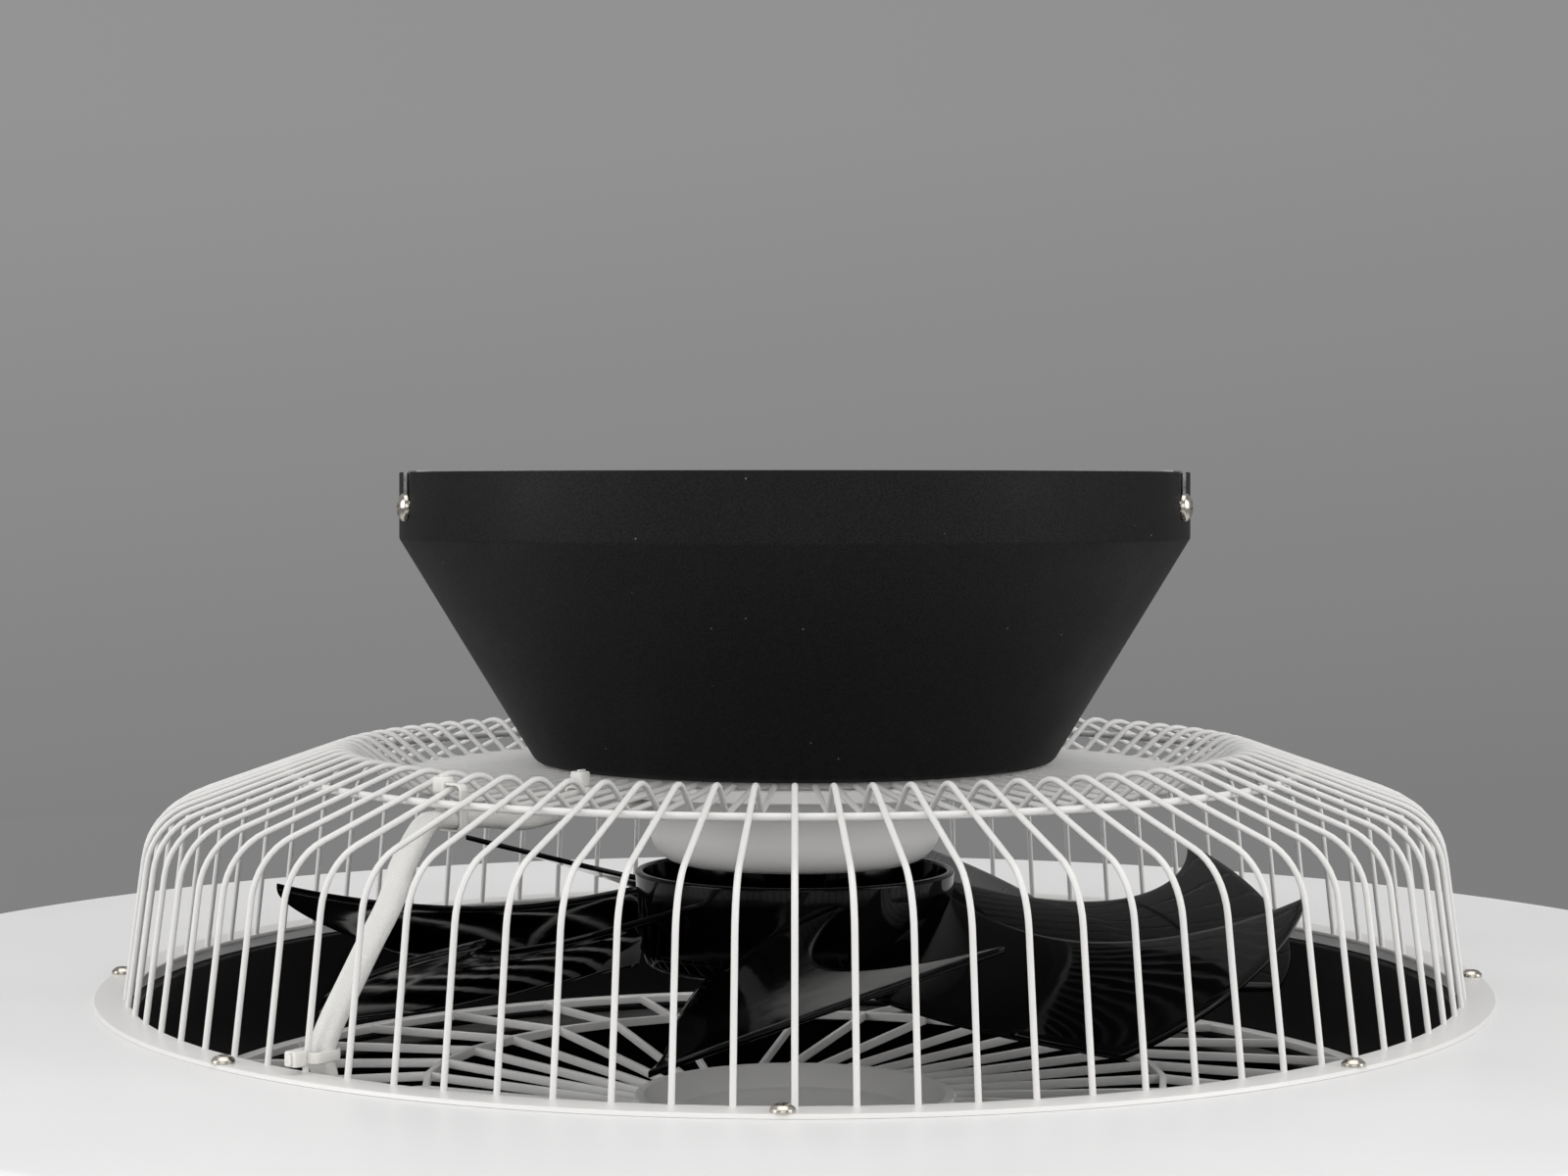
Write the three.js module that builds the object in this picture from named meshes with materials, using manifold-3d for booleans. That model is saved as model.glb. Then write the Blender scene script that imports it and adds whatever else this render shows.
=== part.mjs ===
// Low-profile ceiling fan in a round light body, as it hangs: +Z up, millimetres.
// A black canopy bowl hangs from a ceiling bracket and carries a white wire cage; inside the cage a
// motor turns a seven-blade impeller over a ducted opening through the light body. Heights are worked
// out from the light body's top face, and the finished group is lowered so that the origin is the
// centre of the bracket's top face, where the ceiling is.
import * as THREE from "three";
import { mergeVertices } from "three/addons/utils/BufferGeometryUtils.js";
import Module from "manifold-3d";

const wasm = await Module();
wasm.setup();

// ---------- driving dimensions ----------
// fits
const SEAT = 0.3; // between pieces that rest on, or are cut around, each other
const SCREW_FIT = 0.4; // radial room round a screw's shank
const RUN = 0.25; // radial room round the turning shaft

// light body
const LIGHT_R = 400; // outer radius
const LIGHT_DEPTH = 58; // top face down to the flat underside
const PAN_DEPTH = 42; // steel pan's outer wall
const PAN_T = 1.5; // pan sheet
const PAN_EDGE = 7; // rounding of the pan's outer edge
const PAN_LIP = 4; // turned-down edge round the opening
const DIFFUSER_T = 2.2; // opal sheet
const DIFFUSER_EDGE = 10; // rounding of the diffuser's lower edges
const DIFFUSER_LAP = 4; // how far it rises inside the pan's wall
const BOARD_COUNT = 4; // LED boards round the light body
const BOARD_GAP = 20; // cage flange to boards
const BOARD_W = 90; // boards, radial width
const BOARD_T = 1.6;
const BOARD_ARC = 84; // degrees covered by one board
const LIGHT_SIDES = 36; // facets round the light body and the cage flange

// wire cage
const CAGE_R = 250; // circle of the rib feet
const RIB_COUNT = 84;
const SECTORS = 4; // the cage is welded up from this many parts
const RIB_D = 2.2; // rib wire
const HOOP_D = 2.8; // hoop wire under the shoulder
const WELD = 0.5; // how far the hoop sinks into each rib
const LAND_Z = 81.4; // plate's rim, which the rib ends lie on
const VALLEY = { inset: 97.5, z: 78.5, bend: 5 }; // lowest point of the dished top
const CREST = { inset: 80, z: 91.7, bend: 12 }; // rounded crest round the dish
const SHOULDER = { inset: 8.5, z: 66.8, bend: 24 }; // big bend over the feet
const HOOP_INSET = 59;
const FLANGE_IN = 1.2; // flange reaches this far inside the rib feet
const FLANGE_W = 13.2; // flat ring under the feet
const FLANGE_T = 1.5;

// flange screws
const SCREW_COUNT = 8;
const SCREW_OUT = 8; // screw circle outside the rib feet
const SCREW_TURN = -0.8; // degrees of the front screw from straight ahead
const M4 = { r: 2, head: 4, dome: 2.6, length: 9 };

// mounting plate between canopy and cage
const PLATE_R = 97.5;
const PLATE_T = 1.6;
const PLATE_LIP = 4.8; // turned-down rim
const LAND_W = 6.5; // flat land round the raised middle
const PAD_RISE = 2.2; // raised middle that the canopy floor sits on
const WIRE_R = 16; // wiring hole in plate and canopy floor

// canopy
const CANOPY_R = 150; // rim
const CANOPY_H = 109.6;
const CANOPY_BAND = 24.8; // straight band at the rim
const CANOPY_OVER = 0.9; // cone and floor meet this far outside the plate, before rounding
const CANOPY_T = 1.2;
const CANOPY_BEND = 5; // rounding of the lower edge
const CEILING_GAP = 0.5; // rim to ceiling
const SLOT_W = 12; // open-topped slots for the bracket screws
const SLOT_DEPTH = 16.2;
const SLOT_ANGLES = [72, 108, -72, -108];

// ceiling bracket
const BRACKET_W = 112;
const BRACKET_T = 2;
const EAR_W = 16;
const EAR_H = 22;
const EAR_GAP = 1; // ear to the canopy's inner wall
const WIRE_HOLE = { r: 16, y: 34 }; // supply wires come down through it
const CEILING_SLOTS = { x: 75, length: 24, width: 6 }; // for two ceiling screws
const M5 = { r: 2.5, head: 5.2, dome: 3.3, stand: 0.3, below: 0.7 };

// canopy floor bolts, into lugs of the motor housing
const BOLT_ANGLES = [65, 115, -65, -115];
const BOLT = { r: 2, head: 4.2, dome: 2.6, length: 17 };
const LUG_R = 4.6;

// motor
const HOUSING_H = 36.4;
const HOUSING_T = 1.8;
const HOUSING_EDGE = 12;
const HOUSING_MOUTH = 15; // opening that the rotor's boss turns in
const SHAFT_R = 4;
const BEARING = { r: 11, width: 7 };
const TUBE_T = 2.8; // bearing tube wall
const TUBE_FLANGE = { r: 27, t: 3 };
const STATOR = { r: 36.5, height: 10, teeth: 12, yoke: 21, neck: 3, shoe: 2.4 };
const WINDING = { inner: 22.5, outer: 33, height: 3.6 };
const AIR_GAP = 0.6;
const MAGNET_T = 3.2;
const CAN_T = 1.5;
const CAN_H = 25;
const CAN_BOSS = { r: 10, height: 4 };
const CAN_LIFT = 3.7; // can floor above the housing floor
const LUG_GAP = 3.7; // can to the housing's lugs

// impeller
const BLADE_COUNT = 7;
const HUB_R = 61;
const HUB_H = 36;
const HUB_T = 3;
const HUB_DROP = 3; // hub rim below the motor housing
const HUB_BOSS_R = 12;
const HUB_RIBS = 6;
const TIP_R = 197;
const BLADE_T = 2.4;
// edges of the front blade, in degrees from straight ahead and height over the hub's foot
const LEAD = { root: 18.8, tip: 20.3, sweep: -16.3, rootZ: 30, tipZ: 33.6, dip: 13 };
const TRAIL = { root: -33, tip: -15, sweep: 3.8, rootZ: 2, tipZ: -8, dip: 3 };
const CAMBER = 2.6;

// duct and bottom grille
const DUCT_INSET = 4; // duct mouth inside the rib feet
const DUCT_T = 2.5;
const DUCT_TAPER = 6;
const DUCT_H = 45;
const DUCT_FLANGE = 17; // flange that the cage screws bite into
const LEDGE = 8; // inward ledge that the grille sits on
const LEDGE_T = 2.2;
const SPOKE_COUNT = 32;
const SPOKE_W = [1.8, 2.1]; // inside and outside the middle ring
const SPOKE_H = 3.4;
const SPOKE_SKEW = 25; // spokes are tangent to a circle of this radius
const GRILLE_RIM = 6; // outer ring, radial width
const GRILLE_RING = { r: 140.4, width: 2.6, rise: 7.4 }; // many-sided middle ring, lifted
const DISH = { r: 61.7, wall: 3.7, floorR: 44, depth: 7, t: 2 };

// lead from canopy to light body, in a braided sleeve
const LEAD_RIB = -9; // it hangs under this rib, counted from the front one
const LEAD_W = 10;
const LEAD_T = 6;
const LEAD_DROP_R = 84;
const LEAD_EXIT_Z = -18; // it leaves the duct through its wall here
const GROMMET = { wall: 1.2, flange: 1.6, t: 1.4 };
const PLUG = { length: 16, width: 12 };
const TIE = { width: 3.6, t: 0.7, fit: 0.45, head: [5.4, 5, 5.4] };
const TIE_RADII = [121, 184.4];
const TIE_FOOT_Z = 6.4; // the third tie, round the rib's upright part

// boxes in the canopy: [length, depth, height]
const DRIVER = [90, 46, 28];
const CONTROLLER = [84, 44, 24];
const TERMINAL = [18, 30, 14];
const BOX_GAP = 1.5; // to the bolt heads

// ---------- sizes and heights that follow ----------
const PAD_R = PLATE_R - LAND_W;
const PLATE_PAD = LAND_Z + PAD_RISE;
const CANOPY_FOOT = PLATE_R + CANOPY_OVER;
const CANOPY_Z = PLATE_PAD + SEAT;
const CANOPY_RIM = CANOPY_Z + CANOPY_H;
const CEILING = CANOPY_RIM + CEILING_GAP;
const CANOPY_FLOOR = CANOPY_Z + CANOPY_T;
const MAGNET_R = STATOR.r + AIR_GAP;
const CAN_R = MAGNET_R + MAGNET_T + SEAT; // inner wall of the can
const BOLT_CIRCLE = CAN_R + CAN_T + LUG_GAP + LUG_R;
const HOUSING_R = BOLT_CIRCLE + LUG_R + 0.5;
const HOUSING_TOP = PLATE_PAD - PLATE_T - SEAT;
const HOUSING_Z = HOUSING_TOP - HOUSING_H;
const CAN_Z = HOUSING_Z + HOUSING_T + CAN_LIFT;
const CAN_FOOT = CAN_Z - CAN_BOSS.height;
const TUBE_BOTTOM = CAN_Z + CAN_T + 1.5;
const BEARING_LOW_Z = TUBE_BOTTOM + 0.2;
const BEARING_HIGH_Z = HOUSING_TOP - BEARING.width - 0.6;
const STATOR_Z = (BEARING_LOW_Z + BEARING_HIGH_Z + BEARING.width - STATOR.height) / 2;
const HUB_TOP = HOUSING_Z - HUB_DROP;
const HUB_Z = HUB_TOP - HUB_H;
const DUCT_R = CAGE_R - DUCT_INSET;
const DUCT_TOP = -PAN_LIP - SEAT;
const DUCT_BOTTOM = DUCT_TOP - DUCT_H;
const GRILLE_Z = DUCT_BOTTOM + LEDGE_T + SEAT; // underside of the grille's outer ring
const EAR_R = CANOPY_R - CANOPY_T - EAR_GAP; // outer face of the bracket's ears
const BRACKET_SCREW_Z = CANOPY_RIM - SLOT_DEPTH + M5.r + M5.below;
const LEAD_ANGLE = (360 / RIB_COUNT) * LEAD_RIB;
const GROMMET_R = LEAD_W / 2 + SEAT + GROMMET.wall;

// ---------- finishes ----------
const finish = (color, roughness, metalness) => new THREE.MeshStandardMaterial({ color, roughness, metalness });
const MAT = {
  canopy: finish(0x2a2a2b, 0.62, 0.1),
  white: finish(0xe9e8e6, 0.45, 0.05),
  pan: finish(0xe4e3e2, 0.5, 0),
  opal: finish(0xf2f1ec, 0.35, 0),
  glossBlack: finish(0x0c0c0d, 0.12, 0),
  mattBlack: finish(0x141415, 0.45, 0),
  nickel: finish(0xb9b3aa, 0.25, 1),
  zinc: finish(0x9a9b9c, 0.4, 1),
  steel: finish(0x8c8e90, 0.3, 1),
  copper: finish(0xa8592c, 0.35, 1),
  magnet: finish(0x3a3b3d, 0.6, 0.3),
  board: finish(0xf4f4f2, 0.5, 0),
  braid: finish(0xdedddb, 0.8, 0),
  nylon: finish(0xe8e6e0, 0.4, 0),
  rubber: finish(0x1a1a1a, 0.8, 0),
  box: finish(0xd8d8d6, 0.5, 0),
};

// ---------- shape helpers ----------
const rad = THREE.MathUtils.degToRad;
const vec = (x, y, z) => new THREE.Vector3(x, y, z);
const list = (count, make) => Array.from({ length: count }, (_, i) => make(i));

// A point told by its distance from the axis, its angle from the front and its height.
const polar = (r, degrees, z = 0) => vec(r * Math.sin(rad(degrees)), -r * Math.cos(rad(degrees)), z);

// Closed mesh to solid; a mesh wound inwards is turned out.
function solid(geometry) {
  const bare = geometry.index ? geometry.toNonIndexed() : geometry.clone();
  for (const name of Object.keys(bare.attributes)) if (name !== "position") bare.deleteAttribute(name);
  const merged = mergeVertices(bare, 1e-4);
  const tris = new Uint32Array(merged.index.array);
  const points = merged.attributes.position.array;
  const make = () => new wasm.Manifold(new wasm.Mesh({ numProp: 3, vertProperties: points, triVerts: tris }));
  const made = make();
  if (made.volume() > 0) return made;
  for (let i = 0; i < tris.length; i += 3) [tris[i], tris[i + 1]] = [tris[i + 1], tris[i]];
  return make();
}

function geometryOf(body) {
  const { vertProperties, triVerts, numProp } = body.getMesh();
  const geometry = new THREE.BufferGeometry();
  const position = new Float32Array((vertProperties.length / numProp) * 3);
  for (let i = 0; i < position.length / 3; i++)
    for (let k = 0; k < 3; k++) position[3 * i + k] = vertProperties[i * numProp + k];
  geometry.setAttribute("position", new THREE.BufferAttribute(position, 3));
  geometry.setIndex(new THREE.BufferAttribute(new Uint32Array(triVerts), 1));
  return geometry;
}

const join = (bodies) => wasm.Manifold.union(bodies);
const cut = (body, tools) => tools.reduce((left, tool) => left.subtract(tool), body);

function piece(name, body, material) {
  const geometry = geometryOf(body).toNonIndexed();
  geometry.computeVertexNormals();
  const mesh = new THREE.Mesh(geometry, material);
  mesh.name = name;
  return mesh;
}

const lathe = (outline, segments) =>
  solid(new THREE.LatheGeometry(outline.map(([r, z]) => new THREE.Vector2(r, z)), segments).rotateX(Math.PI / 2));

// Revolve a closed outline of [radius, height] points round the fan's axis.
const turned = (outline, segments) => lathe([...outline, outline[0]], segments);

const ring = (inner, outer, z0, z1, segments) =>
  turned([[inner, z0], [outer, z0], [outer, z1], [inner, z1]], segments);

const post = (r, z0, z1, segments) => lathe([[0, z0], [r, z0], [r, z1], [0, z1]], segments);

const block = ([lx, ly, lz], [x, y, z]) => solid(new THREE.BoxGeometry(lx, ly, lz).translate(x, y, z));

// Points of an arc in a [radius, height] outline, from one direction to another, in degrees.
function arc([cr, cz], r, from, to, steps) {
  return list(steps + 1, (i) => {
    const a = rad(from + ((to - from) * i) / steps);
    return [cr + r * Math.cos(a), cz + r * Math.sin(a)];
  });
}

// Round the corners of an open [radius, height] line; a corner is [radius, height, bend, steps].
function rounded(corners) {
  return corners.flatMap(([r, z, bend, steps], i) => {
    if (!bend) return [[r, z]];
    const here = new THREE.Vector2(r, z);
    const to = (j) => new THREE.Vector2(corners[j][0], corners[j][1]).sub(here).normalize();
    const [a, b] = [to(i - 1), to(i + 1)];
    const half = Math.acos(a.dot(b)) / 2;
    const middle = a.clone().add(b).normalize().multiplyScalar(bend / Math.sin(half)).add(here);
    const start = a.multiplyScalar(bend / Math.tan(half)).add(here).sub(middle);
    const end = b.multiplyScalar(bend / Math.tan(half)).add(here).sub(middle);
    const sweep = Math.atan2(start.cross(end), start.dot(end));
    return list(steps + 1, (k) => {
      const p = start.clone().rotateAround(new THREE.Vector2(), (sweep * k) / steps).add(middle);
      return [p.x, p.y];
    });
  });
}

// Put a body that was made at the front, on -Y, round to its place.
const turnTo = (body, degrees) => body.rotate([0, 0, degrees]);

// Sweep a section, given as [across, up] points, along a line; "across" stays close to the given side.
function swept(points, side, section) {
  const last = points.length - 1;
  const rings = points.map((p, i) => {
    const before = p.clone().sub(points[Math.max(i - 1, 0)]).normalize();
    const after = points[Math.min(i + 1, last)].clone().sub(p).normalize();
    const along = before.add(after).normalize();
    const across = side.clone().addScaledVector(along, -side.dot(along)).normalize();
    const up = along.clone().cross(across);
    return section.map(([a, b]) => p.clone().addScaledVector(across, a).addScaledVector(up, b));
  });
  const n = section.length;
  const index = [];
  for (let i = 0; i < last; i++)
    for (let k = 0; k < n; k++) {
      const [a, b] = [i * n + k, i * n + ((k + 1) % n)];
      index.push(a, b, b + n, a, b + n, a + n);
    }
  for (let k = 1; k < n - 1; k++) {
    index.push(0, k + 1, k);
    index.push(last * n, last * n + k, last * n + k + 1);
  }
  const geometry = new THREE.BufferGeometry().setFromPoints(rings.flat());
  geometry.setIndex(index);
  return solid(geometry);
}

// Wire section with flat sides and a corner pointing down.
const wire = (sides, width, height = width) =>
  list(sides, (k) => {
    const a = (2 * Math.PI * k) / sides - Math.PI / 2;
    return [(width / 2) * Math.cos(a), (height / 2) * Math.sin(a)];
  });

// Screw with a domed head seated at z = 0 on its axis, shank pointing down.
const panScrew = ({ r, head, dome }, shank) =>
  lathe([[0, -shank], [r, -shank], [r, 0], [head, 0], [head * 0.82, dome * 0.7], [0, dome]], 6);

// ---------- wire cage ----------
const ROUND = 1.2; // a three-sided wire is drawn this much wider than the round one it stands for

// Centre line of one rib in [radius, height], from its end on the plate out and down to its foot.
function ribLine() {
  const at = ({ inset, z, bend }, steps) => [CAGE_R - inset, z, bend, steps];
  return rounded([
    [PLATE_R - 1.4, LAND_Z + SEAT + RIB_D * (ROUND / 2)],
    at({ ...VALLEY, bend: 0 }),
    at(CREST, 1),
    at(SHOULDER, 2),
    [CAGE_R, FLANGE_T + SEAT],
  ]);
}

// Height of the rib's centre line on the slope between crest and shoulder.
const SLOPE = (CREST.z - SHOULDER.z) / (CREST.inset - SHOULDER.inset);
const slopeZ = (r) => SHOULDER.z + SLOPE * (CAGE_R - SHOULDER.inset - r);
const HOOP_R = CAGE_R - HOOP_INSET;
const HOOP_Z = slopeZ(HOOP_R) + WELD - (RIB_D * Math.hypot(1, SLOPE) + HOOP_D / 2) * (ROUND / 2);

function cageSectors() {
  const front = swept(ribLine().map(([r, z]) => polar(r, 0, z)), vec(1, 0, 0), wire(3, RIB_D * ROUND));
  const step = 360 / RIB_COUNT;
  const ribs = RIB_COUNT / SECTORS;
  return list(SECTORS, (s) => {
    const first = (s * ribs - (ribs - 1) / 2) * step;
    const hoopAt = list(ribs + 1, (i) => polar(HOOP_R, first + (i - 0.5) * step, HOOP_Z));
    const [start, end] = [hoopAt[0], hoopAt[ribs]];
    end.addScaledVector(hoopAt[ribs - 1].clone().sub(end).normalize(), SEAT / 2);
    start.addScaledVector(hoopAt[1].clone().sub(start).normalize(), SEAT / 2);
    const hoop = swept(hoopAt, vec(0, 0, 1), wire(3, HOOP_D * ROUND).map(([a, b]) => [b, a]));
    const wires = list(ribs, (i) => turnTo(front, first + i * step));
    return piece(`cage_sector_${s + 1}`, join([hoop, ...wires]), MAT.white);
  });
}

// Places round a circle, in degrees from the front, starting at the first screw.
const screwAngles = list(SCREW_COUNT, (i) => SCREW_TURN + (360 / SCREW_COUNT) * i);
const screwHoles = (z0, z1) =>
  screwAngles.map((a) => {
    const at = polar(CAGE_R + SCREW_OUT, a);
    return post(M4.r + SCREW_FIT, z0, z1, 6).translate([at.x, at.y, 0]);
  });

function cageFlange() {
  const [inner, outer] = [CAGE_R - FLANGE_IN, CAGE_R - FLANGE_IN + FLANGE_W];
  const outline = [[inner, 0], [outer, 0], [outer - 0.8, FLANGE_T], [inner, FLANGE_T]];
  return piece("cage_flange", cut(turned(outline, LIGHT_SIDES), screwHoles(-1, FLANGE_T + 1)), MAT.white);
}

function flangeScrews() {
  return screwAngles.map((a, i) => {
    const at = polar(CAGE_R + SCREW_OUT, a, FLANGE_T + 0.05);
    const body = panScrew(M4, M4.length).translate([at.x, at.y, at.z]);
    return piece(`flange_screw_${i + 1}`, body, MAT.nickel);
  });
}

// ---------- light body ----------
function lightPan() {
  const corner = [LIGHT_R - PAN_EDGE, -PAN_EDGE];
  const outline = [
    [CAGE_R, -PAN_LIP], [CAGE_R, 0],
    ...arc(corner, PAN_EDGE, 90, 0, 2),
    [LIGHT_R, -PAN_DEPTH], [LIGHT_R - PAN_T, -PAN_DEPTH],
    ...arc(corner, PAN_EDGE - PAN_T, 0, 90, 1),
    [CAGE_R + PAN_T, -PAN_T], [CAGE_R + PAN_T, -PAN_LIP],
  ];
  return piece("light_pan", cut(turned(outline, LIGHT_SIDES), screwHoles(-PAN_T - 1, 1)), MAT.pan);
}

const ductRadiusAt = (z) => DUCT_R - (DUCT_TAPER * (DUCT_TOP - z)) / DUCT_H;

function diffuser() {
  const outer = LIGHT_R - PAN_T - SEAT - 0.2;
  const inner = ductRadiusAt(DUCT_BOTTOM) + DUCT_T + 1.8;
  const [under, t, e] = [-LIGHT_DEPTH, DIFFUSER_T, DIFFUSER_EDGE];
  const [lap, collar] = [DIFFUSER_LAP - PAN_DEPTH, DUCT_BOTTOM + 4];
  const outline = [
    [outer, lap],
    ...arc([outer - e, under + e], e, 0, -90, 2),
    ...arc([inner + e, under + e], e, -90, -180, 1),
    [inner, collar], [inner + t, collar],
    ...arc([inner + e, under + e], e - t, -180, -90, 1),
    ...arc([outer - e, under + e], e - t, -90, 0, 1),
    [outer - t, lap],
  ];
  return piece("diffuser", turned(outline, LIGHT_SIDES), MAT.opal);
}

function ledBoards() {
  const inner = CAGE_R - FLANGE_IN + FLANGE_W + BOARD_GAP;
  const [from, to] = [rad(-90 - BOARD_ARC / 2), rad(-90 + BOARD_ARC / 2)];
  const shape = new THREE.Shape();
  shape.absarc(0, 0, inner + BOARD_W, from, to, false);
  shape.absarc(0, 0, inner, to, from, true);
  const flat = new THREE.ExtrudeGeometry(shape, { depth: BOARD_T, bevelEnabled: false, curveSegments: 4 });
  const one = solid(flat.translate(0, 0, -PAN_T - SEAT - BOARD_T));
  return list(BOARD_COUNT, (i) =>
    piece(`led_board_${i + 1}`, turnTo(one, (360 / BOARD_COUNT) * (i + 0.5)), MAT.board));
}

// ---------- duct and bottom grille ----------
function ductRing() {
  const [foot, seat] = [ductRadiusAt(DUCT_BOTTOM), DUCT_BOTTOM + LEDGE_T];
  const under = DUCT_TOP - DUCT_T;
  const outline = [
    [DUCT_R, DUCT_TOP], [DUCT_R + DUCT_FLANGE, DUCT_TOP], [DUCT_R + DUCT_FLANGE, under],
    [DUCT_R + DUCT_T, under], [foot + DUCT_T, DUCT_BOTTOM], [foot - LEDGE, DUCT_BOTTOM],
    [foot - LEDGE, seat], [foot, seat],
  ];
  const at = polar(ductRadiusAt(LEAD_EXIT_Z), LEAD_ANGLE, LEAD_EXIT_Z);
  const tool = turnTo(solid(new THREE.CylinderGeometry(GROMMET_R + SEAT, GROMMET_R + SEAT, 14, 10)), LEAD_ANGLE);
  const exit = tool.translate([at.x, at.y, at.z]);
  return piece("duct_ring", cut(turned(outline, LIGHT_SIDES), [...screwHoles(under - 1, DUCT_TOP + 1), exit]), MAT.mattBlack);
}

// Where a straight spoke's side line, this far from the axis, crosses a circle.
const crossing = (r, offset) => [Math.sqrt(r * r - offset * offset), offset];

// The grille is drawn flat, with a gap on each side of every spoke, then its middle ring is lifted.
function grilleOutline(outer) {
  const turn = (k, [x, y]) =>
    new THREE.Vector2(x, y).rotateAround(new THREE.Vector2(), (2 * Math.PI * k) / SPOKE_COUNT);
  const shape = new THREE.Shape(list(SPOKE_COUNT, (k) => turn(k + 0.5, [outer, 0])));
  const inner = list(SPOKE_COUNT, (k) => turn(-k, [DISH.r - DISH.wall, 0]));
  shape.holes.push(new THREE.Path(inner));
  const { r, width } = GRILLE_RING;
  const bands = [[DISH.r, r - width / 2], [r + width / 2, outer - GRILLE_RIM]];
  bands.forEach(([a, b], i) => {
    const [near, far] = [SPOKE_SKEW - SPOKE_W[i] / 2, SPOKE_SKEW + SPOKE_W[i] / 2];
    const gap = (k) => [
      turn(k, crossing(a, far)), turn(k + 1, crossing(a, near)),
      turn(k + 1, crossing(b, near)), turn(k, crossing(b, far)),
    ];
    shape.holes.push(...list(SPOKE_COUNT, (k) => new THREE.Path(gap(k))));
  });
  return shape;
}

function bottomGrille() {
  const outer = ductRadiusAt(GRILLE_Z) - SEAT - 0.9;
  const flat = new THREE.ExtrudeGeometry(grilleOutline(outer), { depth: SPOKE_H, bevelEnabled: false });
  const position = flat.attributes.position;
  const { r, width, rise } = GRILLE_RING;
  for (let i = 0; i < position.count; i++) {
    const away = Math.hypot(position.getX(i), position.getY(i)) - r;
    const onRing = Math.abs(away) < width;
    position.setZ(i, position.getZ(i) + GRILLE_Z + (onRing ? rise : 0));
  }
  const top = GRILLE_Z + SPOKE_H;
  const wall = DISH.r - DISH.wall / 2;
  const dish = lathe([
    [0, top - DISH.depth - DISH.t], [DISH.floorR, top - DISH.depth - DISH.t], [wall, GRILLE_Z + 0.6],
    [wall, top - 0.6], [DISH.floorR, top - DISH.depth], [0, top - DISH.depth],
  ], SPOKE_COUNT);
  return piece("bottom_grille", join([solid(flat), turnTo(dish, 180 / SPOKE_COUNT)]), MAT.white);
}

// ---------- canopy, plate and bracket ----------
const boltHoles = (z0, z1) =>
  BOLT_ANGLES.map((a) => {
    const at = polar(BOLT_CIRCLE, a);
    return post(BOLT.r + SCREW_FIT, z0, z1, 6).translate([at.x, at.y, 0]);
  });

// Where the lead comes down through the canopy floor and the plate.
const dropAt = polar(LEAD_DROP_R, LEAD_ANGLE);
const dropHole = (z0, z1) => post(GROMMET_R + SEAT, z0, z1, 10).translate([dropAt.x, dropAt.y, 0]);

function canopyShell() {
  const [z0, band, rim, t] = [CANOPY_Z, CANOPY_RIM - CANOPY_BAND, CANOPY_RIM, CANOPY_T];
  const outside = rounded([
    [WIRE_R, z0], [CANOPY_FOOT, z0, CANOPY_BEND, 2], [CANOPY_R, band, 3, 1], [CANOPY_R, rim],
  ]);
  // the inner line keeps the sheet's thickness on floor, cone and band
  const slope = Math.atan2(band - z0, CANOPY_R - CANOPY_FOOT);
  const inside = rounded([
    [CANOPY_R - t, rim], [CANOPY_R - t, band + t * Math.tan(Math.PI / 4 - slope / 2)],
    [CANOPY_FOOT - t * Math.tan(slope / 2), z0 + t, CANOPY_BEND - t, 1],
    [WIRE_R, z0 + t],
  ]);
  const h = SLOT_DEPTH + 10;
  const slot = block([SLOT_W, 20, h], [0, -CANOPY_R, rim - SLOT_DEPTH + h / 2]);
  const tools = [...SLOT_ANGLES.map((a) => turnTo(slot, a)), ...boltHoles(z0 - 1, z0 + t + 1)];
  const shell = turned([...outside, ...inside], 32);
  return piece("canopy_shell", cut(shell, [...tools, dropHole(z0 - 1, z0 + t + 1)]), MAT.canopy);
}

function mountPlate() {
  const [land, pad, t] = [LAND_Z, PLATE_PAD, PLATE_T];
  const outline = [
    [WIRE_R, pad], [PAD_R, pad], [PAD_R + 2, land], [PLATE_R, land], [PLATE_R, land - PLATE_LIP],
    [PLATE_R - t, land - PLATE_LIP], [PLATE_R - t, land - t], [PAD_R + 1, land - t],
    [PAD_R - 1, pad - t], [WIRE_R, pad - t],
  ];
  const holes = boltHoles(pad - t - 1, pad + 1);
  const drop = dropHole(land - t - 1, pad + 1);
  return piece("mount_plate", cut(turned(outline, 28), [...holes, drop]), MAT.white);
}

function canopyBolts() {
  return BOLT_ANGLES.map((a, i) => {
    const at = polar(BOLT_CIRCLE, a, CANOPY_FLOOR + 0.05);
    return piece(`canopy_bolt_${i + 1}`, panScrew(BOLT, BOLT.length).translate([at.x, at.y, at.z]), MAT.zinc);
  });
}

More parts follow.
